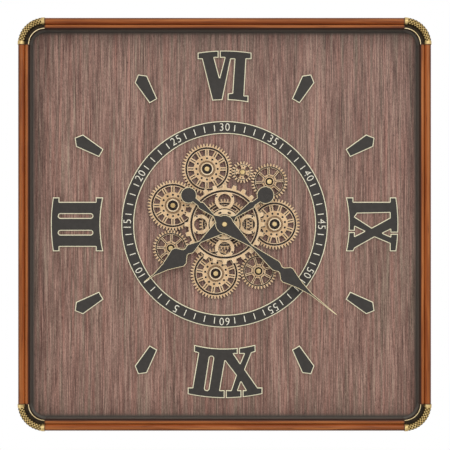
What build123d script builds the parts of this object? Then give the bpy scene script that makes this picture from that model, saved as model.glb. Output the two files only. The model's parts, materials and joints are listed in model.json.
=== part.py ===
from build123d import *
from math import acos, asin, atan2, cos, degrees, hypot, pi, radians, sin, tan
import os

# Square wall clock with a train of moving gears in the middle of its dial.
# Seen from the front, +X is to the right, +Z is up to the twelve and -Y comes towards the viewer.
# The origin is on the hands' axis, in the middle of the depth.
# A height is the distance in front of the dial board's face, and is negative behind it.
# An hour angle goes clockwise from the twelve, in degrees.

os.makedirs("parts", exist_ok=True)

# Frame
CLOCK_WIDTH = 600.0
CORNER_PROUD = 0.8
CORNER_R = 38.5
RAIL_WIDTH = 16.4
OUTER_BEAD = 9.6
QUIRK = 0.8
BEAD_ROUNDNESS = 0.9
INNER_BEAD_STEP = 1.4
QUIRK_DEPTH = 1.2
CORNER_BAND = 10.2
CORNER_CHANNEL = 4.8
CHANNEL_DEPTH = 3.4
DOWEL_R = 3.0
DOWEL_LENGTH = 24.0
FRONT_CLEARANCE = 1.8
WALL_CLEARANCE = 4.0

# Dial board and the battens that carry it
BOARD_THICK = 6.0
BOARD_GAP = 0.2
BATTEN_WIDTH = 18.0
BATTEN_DEPTH = 22.0
HANGING_BATTEN_WIDTH = 34.0
BATTEN_SCREW_R = 1.8
BATTEN_SCREW_BITE = 9.0
SCREW_HEAD_R = 3.6
SCREW_HEAD = 2.2
BATTEN_SCREW_SPAN = 180.0

# Hanger plate and wall bumpers
HANGER_WIDTH = 46.0
HANGER_HEIGHT = 26.0
HANGER_THICK = 1.6
KEYHOLE_R = 5.0
KEYHOLE_SLOT_R = 2.4
KEYHOLE_RISE = 9.0
HANGER_POCKET_MARGIN = 2.0
HANGER_POCKET_DEPTH = 9.0
HANGER_SCREW_SPAN = 34.0
SHORT_SCREW_R = 1.5
SHORT_SCREW_BITE = 5.0
SHORT_HEAD_R = 2.8
SHORT_HEAD = 1.6
BUMPER_R = 6.0
BUMPER_THICK = 2.0
BUMPER_SPAN = 400.0

# Minute ring, numerals and batons
RING_OUTER_R = 151.5
RING_INNER_R = 133.0
PLATE_THICK = 3.0
FACE_STEP = 0.6
PLATE_RIM = 1.2
NUMERAL_MARGIN = 27.8
NUMERAL_DEPTH = 72.5
SERIF_HALF = 39.5
SERIF_DEPTH = 9.5
SERIF_DROP = 3.0
SLOT_WIDTH = 5.8
SLOT_MARGIN = 11.4
SLIT_WIDTH = 2.0
BATON_MARGIN = 28.8
BATON_POINT = 8.1
BATON_LENGTH = 45.0
BATON_SHOULDER = 20.6
BATON_FOOT = 13.0

# Gear train
GEAR_MODULE = 1.5
PRESSURE_ANGLE = 20.0
GEAR_DEDENDUM = 1.9
LARGE_TEETH = 48
MEDIUM_TEETH = 34
SMALL_TEETH = 20
MESH_SLACK = 1.2
TOOTH_THINNING = 0.15
GEAR_THICK = 3.0
GEAR_LIFT = 3.0
LAYER_GAP = 2.0
END_PLAY = 0.2
RUNNING_FIT = 0.05
ENGRAVING = 0.8
HUB_RECESS_LAND = 0.2
POST_R = 3.0
POST_FLANGE_R = 6.0
POST_HEAD_R = 3.5
POST_HEAD = 1.6
STUD_R = 2.5
STUD_FIT = 0.1
POST_NUT_R = 4.6
POST_NUT = 4.0
DRIVE_SHAFT_PROUD = 1.8
BOARD_SHAFT_GAP = 0.6

# Front wheel and centre hub
FRONT_TEETH = 24
FRONT_TIP_R = 58.5
FRONT_TOOTH = 5.4
FRONT_TIP_WIDTH = 5.4
FRONT_TOOTH_SPREAD = 1.8
FRONT_THICK = 3.0
FRONT_WINDOW_R = 9.2
FRONT_WINDOW_PITCH_R = 35.2
FRONT_LOBE_RING = 5.0
FRONT_KIDNEY_INNER_R = 24.5
FRONT_KIDNEY_OUTER_R = 46.0
FRONT_GROOVE_R = 50.0
FRONT_GROOVE_WIDTH = 2.7
FRONT_DOT_R = 1.2
FRONT_DOT_OFF = 12.5
FRONT_DOT_ANGLE = 65.0
FRONT_WINDOWS = 4
HUB_SLEEVE_R = 10.5
HUB_FLANGE_R = 22.0
HUB_FLANGE = 1.2
HUB_SLOTS = 8
HUB_SLOT_RING_R = 17.8
HUB_SLOT_LENGTH = 5.0
HUB_SLOT_WIDTH = 2.6
HUB_GROOVE_R = 14.6
HUB_GROOVE_WIDTH = 1.5
HUB_GROOVE_DEPTH = 0.6
BUSH_R = 7.0
BUSH_FLANGE_R = 11.0

# Hands
HAND_THICK = 1.4
HAND_STEP = 0.4
HAND_RIM = 0.8
HAND_GAP = 1.2
MINUTE_ANGLE = 308.9
HOUR_ANGLE = 54.4
MINUTE_LENGTH = 208.5
HOUR_LENGTH = 143.5
HAND_BOSS_R = 13.4
MINUTE_TAIL = 67.0
HOUR_TAIL = 73.0
MINUTE_DISC_R = 11.6
HOUR_DISC_R = 12.6
HAND_NECK_HALF = 1.7
HAND_TIP_HALF = 0.5
TAIL_NARROWS_AT = 20.0
TAIL_FLARE_GAP = 12.0
TAIL_FLARE_HALF = 5.6
TAIL_NECK_DROP = 4.0
TAIL_NECK_HALF = 3.6
TAIL_END_HALF = 4.2
CAP_NUT_R = 3.8
CAP_NUT = 2.6
CAP_ROUND = 1.5
CAP_STUD_R = 1.2

# Cells and the walls of the two boxes behind the board
CELL_R = 7.25
CELL_LENGTH = 50.5
CELL_NUB_R = 2.75
CELL_NUB = 1.0
CELL_GAP = 0.3
CONTACT_ROOM = 1.8
CONTACT_PLATE = 0.5
CONTACT_HALF = 5.0
CONTACT_BUTTON_R = 2.4
BOX_WALL = 1.6

# Quartz movement
GASKET = 1.0
GASKET_R = 20.0
STEM_R = 4.0
STEM_FIT = 0.1
STEM_PROUD = 0.4
STEM_WASHER_R = 9.0
STEM_WASHER = 0.8
STEM_NUT_R = 7.4
STEM_NUT = 3.0
HOUR_PIPE_R = 2.5
MINUTE_ARBOR_R = 1.75
MOTION_MODULE = 0.5
MOTION_SLACK = 0.2
FINE_THINNING = 0.06
WHEEL_ADDENDUM = 0.75
PINION_ADDENDUM = 0.9
FINE_DEDENDUM = 1.25
MINUTE_PINION_TEETH = 10
MOTION_TEETH = 30
MOTION_PINION_TEETH = 8
HOUR_WHEEL_TEETH = 32
MOTION_ARBOR_R = 1.0
PIVOT_DEPTH = 0.9
WHEEL_THICK = 1.6
WHEEL_GAP = 0.6
KNOB_R = 7.0
KNOB = 4.4
KNOB_GAP = 0.4
KNOB_GRIPS = 12
KNOB_GRIP_R = 0.9
COIL_R = 3.2
COIL_LENGTH = 11.0
COIL_FLANGE_R = 4.0
COIL_FLANGE = 1.4
COIL_SETBACK = 8.0
CIRCUIT_WIDTH = 13.0
CIRCUIT_HEIGHT = 10.0
CIRCUIT_THICK = 1.0
CRYSTAL_R = 1.3
CRYSTAL_LENGTH = 6.0

# Gear drive
DRIVE_MODULE = 0.6
DRIVE_SLACK = 0.2
DRIVE_TEETH = 40
REDUCTION_TEETH = 30
DRIVE_PINION_TEETH = 10
DRIVE_WHEEL_THICK = 2.0
REDUCTION_PIN_R = 1.2
MOTOR_R = 9.6
MOTOR_THICK = 8.0
MOTOR_SHAFT_R = 1.0
GEAR_BAY_HALF = 14.0
DRIVE_BOX_DROP = 12.0
EAR = 9.0


def turned(distance, angle):
    """The point at a distance from the origin, at an angle anticlockwise from local x."""
    return (distance * cos(radians(angle)), distance * sin(radians(angle)))


def beyond(start, distance, angle):
    """The point at a distance from another one, at an angle anticlockwise from +X."""
    step = turned(distance, angle)
    return (start[0] + step[0], start[1] + step[1])


# Heights of the stack on the hands' axis, from the board's face to the front of the frame
GEAR_FRONT = GEAR_LIFT + GEAR_THICK
FRONT_WHEEL_BACK = GEAR_FRONT + LAYER_GAP
FRONT_WHEEL_FRONT = FRONT_WHEEL_BACK + FRONT_THICK
HUB_FRONT = FRONT_WHEEL_FRONT + HUB_FLANGE
BUSH_FRONT = HUB_FRONT + END_PLAY
NUT_BACK = BUSH_FRONT + STEM_WASHER
STEM_FRONT = NUT_BACK + STEM_NUT + STEM_PROUD
HOUR_HAND_BACK = STEM_FRONT + HAND_GAP
MINUTE_HAND_BACK = HOUR_HAND_BACK + HAND_THICK + HAND_GAP
CAP_BACK = MINUTE_HAND_BACK + HAND_THICK
FRAME_FRONT = CAP_BACK + CAP_NUT + FRONT_CLEARANCE

# Heights behind the board
BOX_INNER = 2 * (CELL_R + CELL_GAP)
CASE_FRONT = -BOARD_THICK - GASKET
CASE_FLOOR = CASE_FRONT - BOX_WALL
CASE_REAR = CASE_FLOOR - BOX_INNER
COVER_REAR = CASE_REAR - BOX_WALL
KNOB_FRONT = COVER_REAR - KNOB_GAP
DRIVE_FLOOR = -BOARD_THICK - BOX_WALL
DRIVE_REAR = DRIVE_FLOOR - BOX_INNER
DRIVE_COVER_REAR = DRIVE_REAR - BOX_WALL
FRAME_REAR = KNOB_FRONT - KNOB - WALL_CLEARANCE
WALL_FACE = FRAME_REAR - BUMPER_THICK
BATTEN_REAR = -BOARD_THICK - BATTEN_DEPTH
BOARD_Y = FRAME_FRONT - (FRAME_FRONT - WALL_FACE) / 2

# Outline of the frame
RAIL_HALF = CLOCK_WIDTH / 2 - CORNER_PROUD
CORNER_AT = RAIL_HALF - CORNER_R
RAIL_LENGTH = 2 * CORNER_AT
RAIL_FRONT = FRAME_FRONT - CORNER_PROUD
OPENING_HALF = RAIL_HALF - RAIL_WIDTH
DOWEL_HEIGHT = (RAIL_FRONT + FRAME_REAR) / 2
BATTEN_LENGTH = 2 * (CORNER_AT - BATTEN_WIDTH)

# Reach of the numerals and batons, kept clear of the frame's opening
NUMERAL_OUTER_R = OPENING_HALF - NUMERAL_MARGIN
NUMERAL_INNER_R = NUMERAL_OUTER_R - NUMERAL_DEPTH
BATON_TIP_R = OPENING_HALF - BATON_MARGIN


def facing(height, centre=(0, 0), turn=0.0):
    """Plane of the dial at a height, with local y along an hour angle and its normal to the viewer."""
    right = (cos(radians(turn)), 0, -sin(radians(turn)))
    return Plane(origin=(centre[0], BOARD_Y - height, centre[1]), x_dir=right, z_dir=(0, -1, 0))


def rail_section(edge):
    """Plane across the middle of a rail, local x from its outer side inwards, local y the height."""
    out_x = sin(radians(edge))
    out_z = cos(radians(edge))
    middle = (RAIL_HALF * out_x, BOARD_Y, RAIL_HALF * out_z)
    return Plane(origin=middle, x_dir=(-out_x, 0, -out_z), z_dir=(-out_z, 0, out_x))


def save(part, name):
    """Label a finished piece and write its file."""
    part.label = name
    export_step(part, f"parts/{name}.step")


def involute(angle):
    return tan(angle) - angle


def gear_outline(teeth, module, addendum=1.0, dedendum=GEAR_DEDENDUM, thinning=TOOTH_THINNING):
    """Outline of a spur gear round the local origin, with one tooth centred on local x."""
    pressure = radians(PRESSURE_ANGLE)
    pitch_r = module * teeth / 2
    base_r = pitch_r * cos(pressure)
    root_r = pitch_r - dedendum * module
    half_pitch = pi / (2 * teeth) - thinning / (2 * pitch_r)
    flank = []
    for radius in sorted({root_r, max(base_r, root_r), pitch_r, pitch_r + addendum * module}):
        roll = involute(acos(base_r / radius)) if radius > base_r else 0.0
        flank.append((radius, degrees(half_pitch + involute(pressure) - roll)))
    corners = []
    for tooth in range(teeth):
        middle = 360 / teeth * tooth
        corners += [turned(radius, middle - half) for radius, half in flank]
        corners += [turned(radius, middle + half) for radius, half in reversed(flank)]
    with BuildSketch() as outline:
        with BuildLine():
            Polyline(*corners, close=True)
        make_face()
    return outline.sketch


def centre_distance(first_teeth, second_teeth, module, slack):
    return module * (first_teeth + second_teeth) / 2 + slack


def meshed_turn(first_turn, first_teeth, second_teeth, direction):
    """Angle of a gear's first tooth so that it meshes with another one that lies behind the direction."""
    passed = (direction - first_turn) * first_teeth / 360
    return direction + 180 - (0.5 - passed) * 360 / second_teeth


# Rails, corners and dowels
def bead_rise(width):
    """Height of a bead over its foot, a little less than a half circle's."""
    return BEAD_ROUNDNESS * width / 2


def bead(start, end, foot):
    """One convex bead of a moulding between two distances from the outer side, as an arc."""
    ThreePointArc((start, foot), ((start + end) / 2, foot + bead_rise(end - start)), (end, foot))


def rail(name, edge):
    inner_start = OUTER_BEAD + QUIRK
    outer_foot = RAIL_FRONT - bead_rise(OUTER_BEAD)
    inner_foot = RAIL_FRONT - INNER_BEAD_STEP - bead_rise(RAIL_WIDTH - inner_start)
    quirk_foot = min(outer_foot, inner_foot) - QUIRK_DEPTH
    section = rail_section(edge)
    with BuildPart() as moulding:
        with BuildSketch(section):
            with BuildLine():
                bead(0, OUTER_BEAD, outer_foot)
                Polyline(
                    (OUTER_BEAD, outer_foot),
                    (OUTER_BEAD, quirk_foot),
                    (inner_start, quirk_foot),
                    (inner_start, inner_foot),
                )
                bead(inner_start, RAIL_WIDTH, inner_foot)
                Polyline((RAIL_WIDTH, inner_foot), (RAIL_WIDTH, FRAME_REAR), (0, FRAME_REAR), (0, outer_foot))
            make_face()
        extrude(amount=RAIL_LENGTH / 2, both=True)
        for end, inward in ((RAIL_LENGTH / 2, -1), (-RAIL_LENGTH / 2, 1)):
            with BuildSketch(section.offset(end)):
                with Locations((RAIL_WIDTH / 2, DOWEL_HEIGHT)):
                    Circle(DOWEL_R)
            extrude(amount=inward * DOWEL_LENGTH / 2, mode=Mode.SUBTRACT)
        for plane in batten_screw_planes(edge):
            with BuildSketch(plane):
                Circle(BATTEN_SCREW_R)
            extrude(amount=-BATTEN_SCREW_BITE, mode=Mode.SUBTRACT)
    save(moulding.part, name)


def corner(name, edge):
    """Cast corner between a rail and its neighbour on the anticlockwise side."""
    start = rail_section(edge).offset(RAIL_LENGTH / 2)
    finish = rail_section(edge - 90).offset(-RAIL_LENGTH / 2)
    centre = start.from_local_coords((CORNER_R, 0))
    band_end = CORNER_BAND - CORNER_PROUD
    channel_end = band_end + CORNER_CHANNEL
    band_foot = FRAME_FRONT - bead_rise(CORNER_BAND)
    channel = band_foot - CHANNEL_DEPTH
    with BuildPart() as casting:
        with BuildSketch(start):
            with BuildLine():
                bead(-CORNER_PROUD, band_end, band_foot)
                Polyline(
                    (band_end, band_foot),
                    (band_end, channel),
                    (channel_end, channel),
                    (channel_end, band_foot),
                )
                bead(channel_end, RAIL_WIDTH, band_foot)
                Polyline(
                    (RAIL_WIDTH, band_foot),
                    (RAIL_WIDTH, FRAME_REAR),
                    (-CORNER_PROUD, FRAME_REAR),
                    (-CORNER_PROUD, band_foot),
                )
            make_face()
        revolve(axis=Axis(centre, (0, -1, 0)), revolution_arc=90)
        for plane, inward in ((start, 1), (finish, -1)):
            with BuildSketch(plane):
                with Locations((RAIL_WIDTH / 2, DOWEL_HEIGHT)):
                    Circle(DOWEL_R)
            extrude(amount=inward * DOWEL_LENGTH / 2, mode=Mode.SUBTRACT)
    save(casting.part, name)


def batten_screw_planes(edge):
    """Planes on a rail's inner wall, normal to the middle of the clock, one for each batten screw."""
    out_x = sin(radians(edge))
    out_z = cos(radians(edge))
    height = (-BOARD_THICK + BATTEN_REAR) / 2
    planes = []
    for along in (-BATTEN_SCREW_SPAN, 0, BATTEN_SCREW_SPAN):
        place = (OPENING_HALF * out_x + along * out_z, BOARD_Y - height, OPENING_HALF * out_z - along * out_x)
        planes.append(Plane(origin=place, x_dir=(0, 1, 0), z_dir=(-out_x, 0, -out_z)))
    return planes


EDGES = {"top": 0, "right": 90, "bottom": 180, "left": 270}
CORNERS = {"top_left": 0, "top_right": 90, "bottom_right": 180, "bottom_left": 270}

for side, edge_angle in EDGES.items():
    rail(f"rail_{side}", edge_angle)
for place, edge_angle in CORNERS.items():
    corner(f"corner_{place}", edge_angle)

with BuildPart() as corner_dowels:
    for edge_angle in EDGES.values():
        for rail_end in (-RAIL_LENGTH / 2, RAIL_LENGTH / 2):
            with BuildSketch(rail_section(edge_angle).offset(rail_end)):
                with Locations((RAIL_WIDTH / 2, DOWEL_HEIGHT)):
                    Circle(DOWEL_R)
            extrude(amount=DOWEL_LENGTH / 2, both=True)
save(corner_dowels.part, "corner_dowels")

# Places of the gears, each one meshing with the one before it
LARGE_PITCH = centre_distance(LARGE_TEETH, LARGE_TEETH, GEAR_MODULE, MESH_SLACK)
LARGE_TO_MEDIUM = centre_distance(LARGE_TEETH, MEDIUM_TEETH, GEAR_MODULE, MESH_SLACK)
LARGE_TO_SMALL = centre_distance(LARGE_TEETH, SMALL_TEETH, GEAR_MODULE, MESH_SLACK)
MEDIUM_TO_SMALL = centre_distance(MEDIUM_TEETH, SMALL_TEETH, GEAR_MODULE, MESH_SLACK)

# Name, gear that drives it, number of teeth, centre distance and direction from that gear
GEAR_CHAIN = (
    ("drive_gear", "centre_gear", LARGE_TEETH, LARGE_PITCH, 180.2),
    ("lower_left_gear", "drive_gear", MEDIUM_TEETH, LARGE_TO_MEDIUM, -83.0),
    ("small_gear", "lower_left_gear", SMALL_TEETH, MEDIUM_TO_SMALL, -19.5),
    ("lower_gear", "small_gear", LARGE_TEETH, LARGE_TO_SMALL, -5.2),
    ("right_gear", "lower_gear", LARGE_TEETH, LARGE_PITCH, 47.0),
    ("upper_right_gear", "right_gear", MEDIUM_TEETH, LARGE_TO_MEDIUM, 87.2),
    ("upper_gear", "centre_gear", LARGE_TEETH, LARGE_PITCH, 79.8),
    ("upper_left_gear", "upper_gear", MEDIUM_TEETH, LARGE_TO_MEDIUM, -176.7),
)
GEAR_TEETH = {"centre_gear": LARGE_TEETH}
GEAR_AT = {"centre_gear": (0.0, 0.0)}
GEAR_TURN = {"centre_gear": 0.0}
for gear_name, driver, gear_teeth, distance, direction in GEAR_CHAIN:
    GEAR_TEETH[gear_name] = gear_teeth
    GEAR_AT[gear_name] = beyond(GEAR_AT[driver], distance, direction)
    GEAR_TURN[gear_name] = meshed_turn(GEAR_TURN[driver], GEAR_TEETH[driver], gear_teeth, direction)
POST_PLACES = [GEAR_AT[link[0]] for link in GEAR_CHAIN if link[0] != "drive_gear"]
DRIVE_AT = GEAR_AT["drive_gear"]

# Places of the screws that hold the gear drive to the board, and of those in the hanger plate
DRIVE_BOX_HEIGHT = CELL_LENGTH + 2 * CONTACT_ROOM + 2 * BOX_WALL
CELL_BAY = 4 * CELL_R + 3 * CELL_GAP
DRIVE_BOX_LEFT = -GEAR_BAY_HALF - CELL_BAY - 2 * BOX_WALL
DRIVE_BOX_RIGHT = GEAR_BAY_HALF + BOX_WALL
DRIVE_BOX_MIDDLE = (DRIVE_BOX_LEFT + DRIVE_BOX_RIGHT) / 2
DRIVE_BOX_WIDTH = DRIVE_BOX_RIGHT - DRIVE_BOX_LEFT
EAR_RISE = DRIVE_BOX_HEIGHT / 2 + EAR / 2
EAR_PLACES = [
    (DRIVE_BOX_MIDDLE + across * (DRIVE_BOX_WIDTH / 2 - EAR), up * EAR_RISE - DRIVE_BOX_DROP)
    for across in (-1, 1)
    for up in (-1, 1)
]
HANGER_Z = OPENING_HALF - HANGING_BATTEN_WIDTH / 2
KEYHOLE_DROP = KEYHOLE_RISE / 2

# Dial board
with BuildPart() as dial_board:
    with BuildSketch(facing(-BOARD_THICK)):
        board_side = 2 * (OPENING_HALF - BOARD_GAP)
        RectangleRounded(board_side, board_side, CORNER_R - RAIL_WIDTH - BOARD_GAP)
        Circle(STEM_R + STEM_FIT, mode=Mode.SUBTRACT)
        with Locations(*POST_PLACES):
            Circle(STUD_R + STUD_FIT, mode=Mode.SUBTRACT)
        with Locations(DRIVE_AT):
            Circle(POST_R + BOARD_SHAFT_GAP, mode=Mode.SUBTRACT)
    extrude(amount=BOARD_THICK)
    with BuildSketch(facing(-BOARD_THICK, DRIVE_AT)):
        with Locations(*EAR_PLACES):
            Circle(SHORT_SCREW_R)
    extrude(amount=SHORT_SCREW_BITE - BOX_WALL, mode=Mode.SUBTRACT)
save(dial_board.part, "dial_board")


# Battens behind the board
def batten(edge, width, length):
    """One batten along a rail, bored for its screws, as a part that stands behind the board."""
    section = rail_section(edge)
    with BuildPart() as bar:
        with BuildSketch(section):
            with Locations((RAIL_WIDTH + width / 2, -BOARD_THICK - BATTEN_DEPTH / 2)):
                Rectangle(width, BATTEN_DEPTH)
        extrude(amount=length / 2, both=True)
        for plane in batten_screw_planes(edge):
            with BuildSketch(plane):
                Circle(BATTEN_SCREW_R)
            extrude(amount=width, mode=Mode.SUBTRACT)
    return bar.part


with BuildPart() as board_battens:
    for side in ("right", "bottom", "left"):
        add(batten(EDGES[side], BATTEN_WIDTH, BATTEN_LENGTH))
save(board_battens.part, "board_battens")

with BuildPart() as hanging_batten:
    add(batten(EDGES["top"], HANGING_BATTEN_WIDTH, BATTEN_LENGTH - 2 * BATTEN_WIDTH))
    pocket_width = 2 * (KEYHOLE_R + HANGER_POCKET_MARGIN)
    with BuildSketch(facing(BATTEN_REAR, (0, HANGER_Z))):
        SlotCenterToCenter(KEYHOLE_RISE, pocket_width, rotation=90)
    extrude(amount=HANGER_POCKET_DEPTH, mode=Mode.SUBTRACT)
    with BuildSketch(facing(BATTEN_REAR, (0, HANGER_Z))):
        with GridLocations(HANGER_SCREW_SPAN, 1, 2, 1):
            Circle(SHORT_SCREW_R)
    extrude(amount=SHORT_SCREW_BITE - HANGER_THICK, mode=Mode.SUBTRACT)
save(hanging_batten.part, "hanging_batten")

with BuildPart() as batten_screws:
    for side, edge_angle in EDGES.items():
        grip = HANGING_BATTEN_WIDTH if side == "top" else BATTEN_WIDTH
        for plane in batten_screw_planes(edge_angle):
            with BuildSketch(plane):
                Circle(BATTEN_SCREW_R)
            extrude(amount=grip)
            with BuildSketch(plane):
                Circle(BATTEN_SCREW_R)
            extrude(amount=-BATTEN_SCREW_BITE)
            with BuildSketch(plane.offset(grip)):
                Circle(SCREW_HEAD_R)
            extrude(amount=SCREW_HEAD)
save(batten_screws.part, "batten_screws")

# Hanger plate with its keyhole: the screw head enters the round hole and the plate drops on its shank
with BuildPart() as hanger_plate:
    with BuildSketch(facing(BATTEN_REAR - HANGER_THICK, (0, HANGER_Z))):
        RectangleRounded(HANGER_WIDTH, HANGER_HEIGHT, HANGER_THICK)
        with Locations((0, -KEYHOLE_DROP)):
            Circle(KEYHOLE_R, mode=Mode.SUBTRACT)
        SlotCenterToCenter(KEYHOLE_RISE, 2 * KEYHOLE_SLOT_R, rotation=90, mode=Mode.SUBTRACT)
        with GridLocations(HANGER_SCREW_SPAN, 1, 2, 1):
            Circle(SHORT_SCREW_R, mode=Mode.SUBTRACT)
    extrude(amount=HANGER_THICK)
save(hanger_plate.part, "hanger_plate")

with BuildPart() as short_screws:
    hanger_places = [(x, HANGER_Z) for x in (-HANGER_SCREW_SPAN / 2, HANGER_SCREW_SPAN / 2)]
    ear_places = [(DRIVE_AT[0] + ear[0], DRIVE_AT[1] + ear[1]) for ear in EAR_PLACES]
    seats = [(place, BATTEN_REAR - HANGER_THICK) for place in hanger_places]
    seats += [(place, DRIVE_FLOOR) for place in ear_places]
    for place, seat in seats:
        with BuildSketch(facing(seat, place)):
            Circle(SHORT_SCREW_R)
        extrude(amount=SHORT_SCREW_BITE)
        with BuildSketch(facing(seat, place)):
            Circle(SHORT_HEAD_R)
        extrude(amount=-SHORT_HEAD)
save(short_screws.part, "short_screws")

with BuildPart() as wall_bumpers:
    with BuildSketch(facing(WALL_FACE)):
        with GridLocations(BUMPER_SPAN, 2 * RAIL_HALF - RAIL_WIDTH, 2, 2):
            Circle(BUMPER_R)
    extrude(amount=BUMPER_THICK)
save(wall_bumpers.part, "wall_bumpers")


# Raised plates of the dial: a rim level, and a face stepped up inside it
def rimmed_plate(outline, plane, thick, step, rim):
    with BuildPart() as plate:
        with BuildSketch(plane):
            add(outline)
        extrude(amount=thick - step)
        with BuildSketch(plane.offset(thick - step)):
            add(outline)
            offset(amount=-rim, kind=Kind.ARC, mode=Mode.REPLACE)
        extrude(amount=step)
    return plate.part


with BuildSketch() as ring_outline:
    Circle(RING_OUTER_R)
    Circle(RING_INNER_R, mode=Mode.SUBTRACT)
save(rimmed_plate(ring_outline.sketch, facing(0), PLATE_THICK, FACE_STEP, PLATE_RIM), "minute_ring")


def filled(*corners, mode=Mode.ADD):
    """A straight-sided face in the current sketch, through corners in order."""
    Polygon(*corners, align=None, mode=mode)


def arched():
    """Trim a numeral to the two arcs that all numerals share."""
    Circle(NUMERAL_OUTER_R, mode=Mode.INTERSECT)
    Circle(NUMERAL_INNER_R, mode=Mode.SUBTRACT)


# A numeral is drawn in shares: across, of half its width, and up, from the stems' feet to their shoulders
STEM_SHOULDER_R = NUMERAL_OUTER_R - SERIF_DROP - SERIF_DEPTH
STEM_FOOT_R = NUMERAL_INNER_R - SERIF_DROP + SERIF_DEPTH
SLOT_HEAD_R = NUMERAL_OUTER_R - SLOT_MARGIN - SLOT_WIDTH / 2
SLOT_FOOT_R = NUMERAL_INNER_R + SLOT_MARGIN + SLOT_WIDTH / 2
OVER = 1.4
UNDER = -0.5


def letter_point(across, up):
    return (across * SERIF_HALF, STEM_FOOT_R + up * (STEM_SHOULDER_R - STEM_FOOT_R))


def stroke(*points, mode=Mode.ADD):
    """A straight-sided part of a numeral in the current sketch."""
    filled(*[letter_point(*point) for point in points], mode=mode)


def slit(across, start, end):
    """A narrow slit along the radius, between two shares of the rise."""
    foot = letter_point(across, start)
    head = letter_point(across, end)
    with Locations((foot[0], (foot[1] + head[1]) / 2)):
        Rectangle(SLIT_WIDTH, head[1] - foot[1], mode=Mode.SUBTRACT)


def rounded_slot(foot_across, head_across):
    """A slot with round ends up a stem, between two shares of the half width."""
    foot = (foot_across * SERIF_HALF, SLOT_FOOT_R)
    head = (head_across * SERIF_HALF, SLOT_HEAD_R)
    run = (head[0] - foot[0], head[1] - foot[1])
    lean = degrees(atan2(run[1], run[0]))
    with Locations(((foot[0] + head[0]) / 2, (foot[1] + head[1]) / 2)):
        SlotCenterToCenter(hypot(*run), SLOT_WIDTH, rotation=lean, mode=Mode.SUBTRACT)


with BuildSketch() as three:
    stroke((-1, 1), (-1, OVER), (1, OVER), (1, 1))
    stroke((-1, 0), (1, 0), (1, UNDER), (-1, UNDER))
    stroke((-0.835, 0), (-0.835, 1), (0.835, 1), (0.835, 0))
    arched()
    for stem_gap in (-0.31, 0.31):
        rounded_slot(stem_gap, stem_gap)

with BuildSketch() as six:
    stroke(
        (-1, OVER),
        (1, OVER),
        (1, 1),
        (0.805, 1),
        (0.73, 0),
        (0.886, 0),
        (0.873, UNDER),
        (0.1, UNDER),
        (0.116, 0.055),
        (0.29, 0.075),
        (0.37, 1),
        (0.233, 1),
        (-0.187, UNDER),
        (-0.334, UNDER),
        (-0.84, 1),
        (-1, 1),
    )
    arched()
    stroke((-0.385, 1.04), (0.005, 1.04), (-0.187, 0.495), mode=Mode.SUBTRACT)
    slit(-0.2, 1, OVER)

with BuildSketch() as nine:
    stroke(
        (-1, OVER),
        (1, OVER),
        (1, 1),
        (0.716, 1),
        (0.476, 0.58),
        (0.886, 0.04),
        (1, 0),
        (1, UNDER),
        (-1, UNDER),
        (-1, 0),
        (-0.835, 0),
        (-0.835, 1),
        (-1, 1),
    )
    arched()
    stroke((-0.278, 0.04), (-0.405, 0.11), (-0.43, 1), (-0.243, 1), (0.127, 0.505), mode=Mode.SUBTRACT)
    stroke((0.086, 0.04), (0.44, 0.04), (0.258, 0.3), mode=Mode.SUBTRACT)
    slit(0.263, UNDER, 0.075)
    stroke((0.192, 1.02), (0.456, 1.02), (0.329, 0.81), mode=Mode.SUBTRACT)
    slit(0.329, 1, OVER)

with BuildSketch() as twelve:
    stroke(
        (-1.405, OVER),
        (1.38, OVER),
        (1.367, 0.945),
        (1.195, 0.945),
        (0.977, 0),
        (1.139, -0.04),
        (1.101, UNDER),
        (-1.127, UNDER),
        (-1.152, -0.04),
        (-1.003, 0),
        (-0.757, 0.45),
        (-1.23, 0.945),
        (-1.405, 0.945),
    )
    arched()
    rounded_slot(0.491, 0.661)
    stroke((0.172, 1.02), (-0.018, 0.215), (-0.425, 0.61), (-0.241, 1.02), mode=Mode.SUBTRACT)
    slit(-0.023, 1, OVER)
    stroke((-0.496, 1.02), (-0.79, 1.02), (-0.608, 0.795), mode=Mode.SUBTRACT)
    slit(-0.648, 1, OVER)
    stroke((-0.339, 0.02), (-0.724, 0.02), (-0.577, 0.28), mode=Mode.SUBTRACT)
    slit(-0.511, UNDER, 0.055)

NUMERALS = {
    "numeral_twelve": (twelve, 0),
    "numeral_three": (three, 90),
    "numeral_six": (six, 180),
    "numeral_nine": (nine, 270),
}
for numeral_name, (outline, hour_angle) in NUMERALS.items():
    plane = facing(0, turn=hour_angle)
    save(rimmed_plate(outline.sketch, plane, PLATE_THICK, FACE_STEP, PLATE_RIM), numeral_name)

# Hour batons, pointed outwards
with BuildSketch() as baton:
    baton_foot_r = BATON_TIP_R - BATON_LENGTH
    baton_shoulder_r = BATON_TIP_R - BATON_POINT
    filled(
        (0, BATON_TIP_R),
        (BATON_SHOULDER / 2, baton_shoulder_r),
        (BATON_FOOT / 2, baton_foot_r),
        (-BATON_FOOT / 2, baton_foot_r),
        (-BATON_SHOULDER / 2, baton_shoulder_r),
    )
with BuildPart() as hour_batons:
    for hour in (1, 2, 4, 5, 7, 8, 10, 11):
        add(rimmed_plate(baton.sketch, facing(0, turn=30 * hour), PLATE_THICK, FACE_STEP, PLATE_RIM))
save(hour_batons.part, "hour_batons")


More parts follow.
